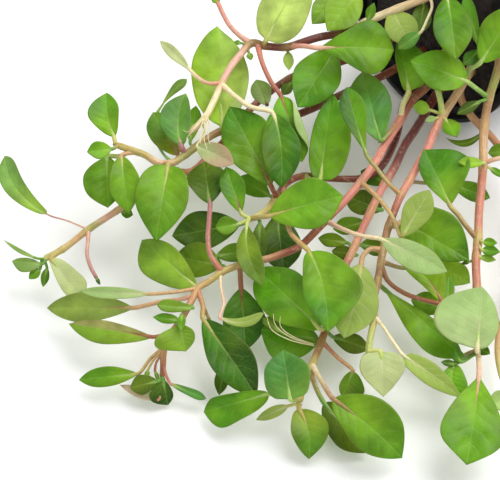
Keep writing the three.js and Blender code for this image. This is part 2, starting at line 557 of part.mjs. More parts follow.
// The share of a stem's length whose middle is seen nearest to a pixel
function nearestShare(middles, [across, down]) {
  let best = { share: 0, distance: Infinity };
  for (let step = 0; step <= FOOT_SAMPLES; step += 1) {
    const share = step / FOOT_SAMPLES;
    const place = middleAt(middles, share);
    const seen = place.distanceTo(at([across, down, place.z]));
    if (seen < best.distance) best = { share, distance: seen };
  }
  return best.share;
}

// Where a leaf stalk starts: on the middle of its stem if it is grown in one
// with it, or else just off the stem's skin, towards the next point
function stalkStart(name, pixel, next, joined) {
  const middles = stemMiddles[name];
  const share = nearestShare(middles, pixel);
  const middle = middleAt(middles, share);
  if (joined) return middle;
  const along = directionAt(middles, share);
  const out = next.clone().sub(middle);
  out.addScaledVector(along, -0.8 * out.dot(along)).normalize();
  return middle.addScaledVector(out, stemRadius(name, share) + GAP + PETIOLE_WIDTH / 2);
}

// Directions along a leaf, across it and out of its upper face, which is
// turned as near to the given facing as it can be
function leafFrame(along, facing) {
  const over = facing.clone().addScaledVector(along, -facing.dot(along)).normalize();
  return { over, across: new THREE.Vector3().crossVectors(over, along) };
}

// A blade faces the camera, but lies back a little towards level.
function bladeFacing(along) {
  const facing = sightLine.clone().negate().lerp(new THREE.Vector3(0, 0, 1), LEAN);
  return leafFrame(along, facing).over;
}

function halfWidth(outline, width, share) {
  const [rise, fall] = OUTLINES[outline];
  const peak = rise / (rise + fall);
  const widest = peak ** (rise / fall) * (1 - peak);
  const half = ((width / 2) * share ** rise * (1 - share ** fall)) / widest;
  return Math.max(LEAST_HALF_WIDTH, half);
}

function stations(width, joined) {
  if (!joined) return LEAF_STATIONS;
  return width < BUD_WIDTH ? BUD_STATIONS : LEAFLET_STATIONS;
}

// A leaf: a slim stalk that widens into a thin blade, bowed along its midrib
function leafSolid(leaf, name, joined) {
  const { foot, via, width } = leaf;
  const { outline = width < BUD_WIDTH ? "bud" : "elliptic", sides = [1, 1] } = leaf;
  const { bow = 0, sway = 0, cup = 0 } = leaf;
  const base = at(leaf.base);
  const tip = at(leaf.tip);
  const bladeAlong = tip.clone().sub(base).normalize();
  const facing = bladeFacing(bladeAlong);
  const rings = [];
  const addRing = (centre, along, reaches, rise, thickness) => {
    const { over, across } = leafFrame(along, facing);
    const left = centre.clone().addScaledVector(across, reaches[0]).addScaledVector(over, rise);
    const right = centre.clone().addScaledVector(across, -reaches[1]).addScaledVector(over, rise);
    const top = centre.clone().addScaledVector(over, thickness / 2);
    const bottom = centre.clone().addScaledVector(over, -thickness / 2);
    rings.push([aboveSurface(left, 0.3), aboveSurface(top, 0.6), aboveSurface(right, 0.3),
      aboveSurface(bottom, 0)]);
  };
  const passed = [...via.map(at), base];
  const start = stalkStart(name, foot, passed[0], joined);
  const stalk = smoothCurve([start, ...passed, base.clone().lerp(tip, 0.2)]);
  const stalkEnd = passed.length / (passed.length + 1);
  const stalkSteps = joined ? passed.length : Math.max(2, passed.length);
  for (let step = 0; step < stalkSteps; step += 1) {
    const share = (stalkEnd * step) / stalkSteps;
    const half = PETIOLE_WIDTH / 2;
    addRing(stalk.getPoint(share), stalk.getTangent(share), [half, half], 0, PETIOLE_WIDTH);
  }
  for (const share of stations(width, joined)) {
    const arch = 4 * share * (1 - share);
    const centre = base.clone().lerp(tip, share)
      .addScaledVector(facing, bow * arch)
      .addScaledVector(leafFrame(bladeAlong, facing).across, sway * arch);
    const half = halfWidth(outline, width, share);
    addRing(centre, bladeAlong, sides.map((side) => side * half), cup * half, LEAF_THICKNESS);
  }
  return loft(rings);
}

// Solid geometry from three.js as a manifold solid, and back
function toManifold(geometry) {
  const bare = geometry.clone();
  bare.deleteAttribute("normal");
  bare.deleteAttribute("uv");
  const merged = mergeVertices(bare, 1e-4);
  return new wasm.Manifold(new wasm.Mesh({
    numProp: 3,
    vertProperties: new Float32Array(merged.attributes.position.array),
    triVerts: new Uint32Array(merged.index.array),
  }));
}

function fromManifold(solid) {
  const { vertProperties, triVerts } = solid.getMesh();
  const geometry = new THREE.BufferGeometry();
  geometry.setAttribute("position", new THREE.BufferAttribute(vertProperties, 3));
  geometry.setIndex(new THREE.BufferAttribute(triVerts, 1));
  return geometry;
}

// Turns a solid made about +Z, base at 0, so that it lies as the pot does,
// with one flat side of its polygon on the surface
const potTurn = new THREE.Matrix4().makeBasis(
  new THREE.Vector3(Math.SQRT1_2, -Math.SQRT1_2, 0),
  new THREE.Vector3().crossVectors(potAxis, new THREE.Vector3(Math.SQRT1_2, -Math.SQRT1_2, 0)),
  potAxis,
);
const potPlace = potTurn.clone()
  .setPosition(mouthCentre.clone().addScaledVector(potAxis, -POT_HEIGHT));

function lathe(profile) {
  const points = profile.map(([radius, height]) => new THREE.Vector2(radius, height));
  const halfSide = Math.PI / POT_SIDES;
  return new THREE.LatheGeometry(points, POT_SIDES).rotateX(Math.PI / 2).rotateZ(halfSide);
}

// The radius of the pot's outside at a height over its base, below the lip
function wallRadius(height) {
  return THREE.MathUtils.lerp(POT_BASE, POT_MOUTH - 2 * LIP_STEP, height / POT_HEIGHT) / 2;
}

function potSolid() {
  const mouth = POT_MOUTH / 2;
  const lipFoot = POT_HEIGHT - LIP_HEIGHT;
  const shell = toManifold(lathe([
    [0, 0], [POT_BASE / 2, 0], [wallRadius(lipFoot), lipFoot], [mouth, lipFoot],
    [mouth, POT_HEIGHT], [wallRadius(POT_HEIGHT) - POT_WALL, POT_HEIGHT],
    [wallRadius(POT_WALL) - POT_WALL, POT_WALL], [0, POT_WALL],
  ]));
  let pot = shell;
  for (let slot = 0; slot < SLOT_COUNT; slot += 1) {
    const angle = (2 * Math.PI * (slot + 0.5)) / SLOT_COUNT;
    const wallSlot = new THREE.BoxGeometry(POT_MOUTH, SLOT_WIDTH, SLOT_LENGTH)
      .translate(POT_MOUTH / 2 + 4, 0, SLOT_START + SLOT_LENGTH / 2)
      .rotateZ(angle);
    pot = pot.subtract(toManifold(wallSlot));
    const baseSlot = new THREE.BoxGeometry(BASE_SLOT_LENGTH, SLOT_WIDTH, 4 * POT_WALL)
      .translate(POT_BASE / 4, 0, 0)
      .rotateZ(angle);
    pot = pot.subtract(toManifold(baseSlot));
  }
  return fromManifold(pot);
}

// The plug of growing medium that fills the pot up to a little below its lip
function mediumSolid() {
  const top = POT_HEIGHT - MEDIUM_RECESS;
  const foot = POT_WALL + GAP;
  const radius = (height) => wallRadius(height) - POT_WALL - GAP;
  return lathe([[0, foot], [radius(foot), foot], [radius(top), top],
    [radius(top) * 0.6, top + MEDIUM_DOME], [0, top + MEDIUM_DOME]]);
}

const FINISHES = {
  pot: { color: 0x15161a, roughness: 0.5 },
  medium: { color: 0x3a2a1c, roughness: 1 },
  stem: { color: 0xc4806a, roughness: 0.5 },
  leaf: { color: 0x5c9f2b, roughness: 0.45 },
};

const object = new THREE.Group();

function addNode(name, geometry, finish) {
  geometry.computeVertexNormals();
  const material = new THREE.MeshStandardMaterial({ ...FINISHES[finish], metalness: 0 });
  const node = new THREE.Mesh(geometry, material);
  node.name = name;
  object.add(node);
  return node;
}

// A stem with the small leaves that have no node of their own joined to it,
// without the slivers of face that their seams leave
function grownStem(name) {
  let solid = toManifold(stemSolid(name));
  for (const leaflet of LEAFLETS[name] ?? []) {
    solid = solid.add(toManifold(leafSolid(leaflet, name, true)));
  }
  return fromManifold(solid.simplify(SEAM_TOLERANCE));
}

addNode("pot", potSolid(), "pot").applyMatrix4(potPlace);
addNode("growing_medium", mediumSolid(), "medium").applyMatrix4(potPlace);
for (const name of Object.keys(STEMS)) {
  addNode(`stem_${name}`, grownStem(name), "stem");
  (LEAVES[name] ?? []).forEach((leaf, index) => {
    addNode(`leaf_${name}_${index + 1}`, leafSolid(leaf, name, false), "leaf");
  });
}

// The origin is under the middle of the whole object, on the surface
const extent = new THREE.Box3().setFromObject(object, true);
const middle = extent.getCenter(new THREE.Vector3());
object.position.set(-middle.x, -middle.y, 0);
const group = new THREE.Group();
group.add(object);

export default group;
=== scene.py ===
import json
import math
import random

import bpy
from mathutils import Matrix, Quaternion, Vector, noise


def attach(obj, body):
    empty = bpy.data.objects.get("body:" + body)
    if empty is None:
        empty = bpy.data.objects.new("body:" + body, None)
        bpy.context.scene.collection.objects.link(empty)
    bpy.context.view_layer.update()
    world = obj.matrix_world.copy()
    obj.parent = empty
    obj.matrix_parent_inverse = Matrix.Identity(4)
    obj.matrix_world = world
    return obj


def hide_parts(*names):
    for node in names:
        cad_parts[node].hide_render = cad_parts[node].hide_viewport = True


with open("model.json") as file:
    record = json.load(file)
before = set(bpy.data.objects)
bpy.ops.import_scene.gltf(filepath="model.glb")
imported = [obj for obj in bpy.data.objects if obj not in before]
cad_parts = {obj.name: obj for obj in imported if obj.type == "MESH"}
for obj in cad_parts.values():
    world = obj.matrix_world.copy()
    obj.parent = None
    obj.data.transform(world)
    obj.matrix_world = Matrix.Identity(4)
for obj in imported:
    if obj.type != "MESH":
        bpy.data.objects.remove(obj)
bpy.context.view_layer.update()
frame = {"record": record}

# A marsh plant: rooted stems with paired leaves, growing out of a small black
# net pot that lies on its side. Lengths are in millimetres until a mesh is
# written, +X is to the right of the view and +Y away from the camera.
MM = 0.001

# The view: pixels across and down, and the camera that looks along it
VIEW_CENTRE = (250, 240)
VIEW_WIDTH = 500
CAMERA_ELEVATION = math.radians(50)
CAMERA_DISTANCE = 450
TARGET_HEIGHT = 10
PIXELS_PER_MM = 4.2
SENSOR_WIDTH = 36
MOUTH_PIXEL = (433, 27)

# The pot and what fills it
POT_MOUTH = 52
POT_BASE = 37
POT_HEIGHT = 50
POT_WALL = 1
LIP_HEIGHT = 4
LIP_STEP = 1.6
SLOT_COUNT = 10
SLOT_LENGTH = 22
SLOT_START = 7
BASE_SLOT = (3.75, 14.75)
MEDIUM_RECESS = 4
MEDIUM_DOME = 1.2
GAP = 0.3

# The plant
STEM_WIDTH = 2.4
STALK_WIDTH = 1.3
LEAF_THICKNESS = 0.34
LEAN = 0.25
BUD_WIDTH = 2.7
SMALL_LEAF = 5
CURL_RADIUS = 0.4

SIGHT = Vector((0, math.cos(CAMERA_ELEVATION), -math.sin(CAMERA_ELEVATION)))
VIEW_UP = Vector((0, math.sin(CAMERA_ELEVATION), math.cos(CAMERA_ELEVATION)))
EYE = Vector((0, 0, TARGET_HEIGHT)) - SIGHT * CAMERA_DISTANCE
UP = Vector((0, 0, 1))


def pixel_ray(across, down):
    """The ray of one pixel of the view."""
    ahead = SIGHT * (CAMERA_DISTANCE * PIXELS_PER_MM)
    return ahead + Vector((across - VIEW_CENTRE[0], 0, 0)) + VIEW_UP * (VIEW_CENTRE[1] - down)


def at(place):
    """The place seen at a pixel, at a height above the surface."""
    across, down, height = place
    ray = pixel_ray(across, down)
    return EYE + ray * ((height - EYE.z) / ray.z)


POT_TILT = math.atan((POT_MOUTH - POT_BASE) / 2 / (POT_HEIGHT - LIP_HEIGHT))
MOUTH_HEIGHT = POT_MOUTH / 2 * math.cos(POT_TILT) + LIP_HEIGHT * math.sin(POT_TILT)
MOUTH_CENTRE = at((*MOUTH_PIXEL, MOUTH_HEIGHT))
HALF_TURN = math.sqrt(0.5)
POT_AXIS = Vector((-HALF_TURN * math.cos(POT_TILT), -HALF_TURN * math.cos(POT_TILT), math.sin(POT_TILT)))
POT_FOOT = MOUTH_CENTRE - POT_AXIS * POT_HEIGHT

# The frame's mount is the centre of the pot's base, which says how far the
# frame's origin is from the view's target.
SHIFT = Vector(frame["record"]["mounts"][0]["pos_m"]) / MM - POT_FOOT


def on_medium(pixel):
    """The place seen at a pixel, on the face of the growing medium."""
    ray = pixel_ray(*pixel)
    face = MOUTH_CENTRE + POT_AXIS * (MEDIUM_DOME + GAP + STEM_WIDTH / 2 - MEDIUM_RECESS)
    return EYE + ray * ((face - EYE).dot(POT_AXIS) / ray.dot(POT_AXIS))


def shade(red, green, blue):
    """A colour as seen on a screen, 0 to 255, as linear light."""
    return tuple(
        c / 255 / 12.92 if c < 10.3 else ((c / 255 + 0.055) / 1.055) ** 2.4 for c in (red, green, blue)
    )


# Leaf colours, at the base of the blade and at its tip
TONES = {
    "fresh": (shade(134, 190, 38), shade(108, 172, 28)),
    "bright": (shade(116, 178, 24), shade(90, 158, 16)),
    "mid": (shade(104, 164, 22), shade(74, 140, 14)),
    "deep": (shade(80, 140, 18), shade(54, 112, 12)),
    "dark": (shade(50, 106, 14), shade(30, 80, 8)),
    "gloom": (shade(26, 68, 8), shade(16, 50, 6)),
    "yellow": (shade(168, 208, 54), shade(146, 192, 44)),
    "lime": (shade(190, 216, 104), shade(170, 204, 88)),
    "lit": (shade(226, 246, 140), shade(214, 238, 122)),
    "sallow": (shade(174, 196, 94), shade(156, 180, 78)),
    "soft": (shade(144, 184, 54), shade(128, 170, 46)),
    "cool": (shade(154, 192, 66), shade(132, 176, 84)),
    "olive": (shade(120, 152, 34), shade(98, 134, 26)),
    # bluish: partly the leaf's own green, partly a painted sheen, the pale blue of reflected sky laid into
    # the colour
    "bluish": (shade(104, 166, 72), shade(74, 142, 56)),
    "grey": (shade(144, 178, 112), shade(116, 158, 92)),
    "turning": (shade(152, 162, 36), shade(86, 148, 40)),
    "ripening": (shade(152, 172, 58), shade(64, 120, 24)),
    "dun": (shade(190, 178, 116), shade(182, 176, 106)),
    "pale": (shade(194, 216, 144), shade(174, 206, 124)),
    "chalk": (shade(214, 226, 158), shade(208, 218, 150)),
    "blush": (shade(174, 198, 126), shade(196, 166, 132)),
    "pink": (shade(236, 214, 190), shade(222, 190, 168)),
}

# Colours of stems, leaf stalks and midribs
SKINS = {
    "maroon": shade(110, 46, 38),
    "rust": shade(158, 88, 60),
    "brown": shade(160, 116, 76),
    "mauve": shade(170, 112, 112),
    "salmon": shade(212, 134, 114),
    "rose": shade(194, 124, 98),
    "peach": shade(230, 180, 156),
    "tan": shade(204, 164, 114),
    "cream": shade(238, 222, 176),
    "straw": shade(186, 168, 92),
    "moss": shade(148, 152, 72),
    "lemon": shade(202, 208, 116),
    "pale": shade(174, 204, 108),
    "green": shade(104, 156, 50),
}

# Stems: the pixel where each leaves the medium, its route as pixel across,
# pixel down and height above the surface, its width at either end and its
# colours as shares of its length
STEMS = {
    "top": dict(
        start=(438, -8), width=(2.1, 1.6), cut=True,
        route=[(420, 0, 36), (400, 8, 34), (375, 18, 32), (345, 32, 30.5), (320, 37, 30),
               (300, 43, 29.5), (288, 47, 29), (265, 46, 28), (252, 43, 28), (240, 55, 27.5),
               (230, 68, 27), (222, 83, 26), (212, 105, 25), (205, 118, 24), (195, 128, 23),
               (184, 135, 22)],
        skin=[(0, "tan"), (0.25, "cream"), (0.32, "maroon"), (0.57, "maroon"), (0.62, "brown"),
              (0.67, "peach"), (0.77, "peach"), (0.84, "cream"), (0.95, "cream"), (1, "tan")],
    ),
    "upper_left": dict(
        start=(420, 52), width=(2.1, 1.6),
        route=[(390, 72, 17), (343, 94, 17), (309, 110, 17.5), (260, 127, 18),
               (222, 131, 18.5), (205, 140, 19), (185, 155, 19.5), (172, 163, 20),
               (158, 163, 21), (145, 155, 22), (131, 150, 23), (114, 144, 23.5)],
        skin=[(0, "rust"), (0.5, "maroon"), (0.66, "brown"), (0.8, "moss"), (0.86, "peach"),
              (0.91, "straw"), (1, "straw")],
    ),
    "left": dict(
        start=(408, 24), width=(2.1, 1.5),
        route=[(380, 46, 25), (340, 62, 20), (295, 76, 16), (267, 94, 14.5), (245, 115, 14),
               (225, 140, 14), (205, 160, 14), (190, 172, 14), (175, 172, 14), (150, 188, 13),
               (118, 210, 12.5), (89, 229, 12), (63, 249, 10.5), (42, 260, 9.5)],
        skin=[(0, "rust"), (0.3, "maroon"), (0.48, "rust"), (0.62, "rose"), (0.78, "tan"),
              (0.85, "peach"), (0.88, "moss"), (0.92, "tan"), (1, "lemon")],
    ),
    "inner": dict(
        start=(424, 68), width=(2.1, 1.5),
        route=[(405, 102, 9), (395, 140, 8), (380, 168, 8), (362, 178, 8), (345, 179, 8.5),
               (325, 178, 9), (303, 176, 10), (288, 182, 11), (277, 196, 12), (268, 209, 13),
               (258, 216, 14), (250, 219, 14.5)],
        skin=[(0, "maroon"), (0.5, "maroon"), (0.7, "rust"), (0.82, "maroon"), (0.92, "straw"),
              (1, "lemon")],
    ),
    "long": dict(
        start=(447, 48), width=(2.4, 1.3),
        route=[(438, 70, 17.5), (425, 88, 17.5), (412, 100, 17.5), (400, 120, 17),
               (383, 148, 16.5), (375, 163, 16.5), (361, 182, 16), (342, 204, 15.5),
               (326, 220, 15), (312, 235, 15), (300, 246, 14.5), (270, 258, 14),
               (240, 265, 13.5), (222, 272, 13.5), (208, 282, 13), (198, 288, 13),
               (192, 300, 13), (182, 318, 12), (170, 336, 10), (164, 350, 8), (163, 366, 6),
               (162, 380, 4.5)],
        skin=[(0, "tan"), (0.08, "brown"), (0.16, "rust"), (0.22, "salmon"), (0.42, "salmon"),
              (0.52, "rust"), (0.62, "rust"), (0.68, "tan"), (0.76, "straw"), (0.84, "rose"),
              (0.95, "rose"), (1, "rust")],
    ),
    "middle": dict(
        start=(456, 72), width=(2.3, 1.5),
        route=[(438, 92, 13), (424, 115, 13), (415, 130, 12.5), (405, 145, 12),
               (394, 168, 11.5), (380, 192, 11), (368, 217, 10.5), (352, 252, 10),
               (345, 267, 10), (336, 295, 10), (326, 328, 10), (320, 345, 9.5), (312, 365, 9),
               (305, 378, 8.5), (299, 404, 8)],
        skin=[(0, "brown"), (0.1, "maroon"), (0.3, "maroon"), (0.4, "salmon"),
              (0.58, "salmon"), (0.7, "rust"), (0.86, "rust"), (0.89, "straw"), (1, "straw")],
    ),
    "centre": dict(
        start=(478, 52), width=(2.2, 1.5),
        route=[(470, 70, 25), (458, 92, 22), (443, 115, 20), (433, 135, 19), (427, 150, 18.5),
               (418, 165, 18), (410, 180, 17.5), (401, 195, 17), (394, 212, 16.5),
               (388, 228, 16), (383, 250, 15.5), (381, 262, 15), (378, 280, 14.5),
               (374, 300, 14), (374, 318, 13.5), (370, 340, 13), (368, 356, 12.5)],
        skin=[(0, "tan"), (0.2, "tan"), (0.27, "salmon"), (0.48, "salmon"), (0.55, "rust"),
              (0.62, "brown"), (0.8, "brown"), (0.88, "straw"), (1, "pale")],
    ),
    "right": dict(
        start=(480, 30), width=(2.2, 1.9),
        route=[(490, 44, 34), (499, 60, 31), (496, 76, 28), (489, 98, 24.5), (484, 130, 20.5),
               (483, 165, 17.5), (481, 190, 15), (479, 212, 14), (478, 240, 13),
               (476, 262, 12), (477, 290, 11), (477, 320, 10), (478, 352, 9.5)],
        skin=[(0, "tan"), (0.12, "brown"), (0.2, "moss"), (0.26, "brown"), (0.4, "tan"),
              (0.46, "rose"), (0.62, "rose"), (0.655, "straw"), (0.69, "rose"), (0.82, "rose"),
              (0.92, "peach"), (1, "cream")],
    ),
    "back_left": dict(
        start=(424, -18), width=(2, 1.5),
        route=[(405, -19, 37), (385, -17, 35.5), (365, -14, 34), (345, -16, 32)],
        skin=[(0, "tan"), (0.5, "rose"), (1, "tan")],
    ),
    "far_right": dict(
        start=(468, 74), width=(2.1, 1.4),
        route=[(460, 93, 14), (470, 114, 11.5), (494, 140, 10), (513, 168, 9.5), (518, 205, 9),
               (514, 260, 8), (506, 310, 7), (498, 340, 6.5), (499, 365, 6), (507, 392, 4)],
        skin=[(0, "tan"), (0.4, "rose"), (0.8, "rose"), (1, "lemon")],
    ),
}
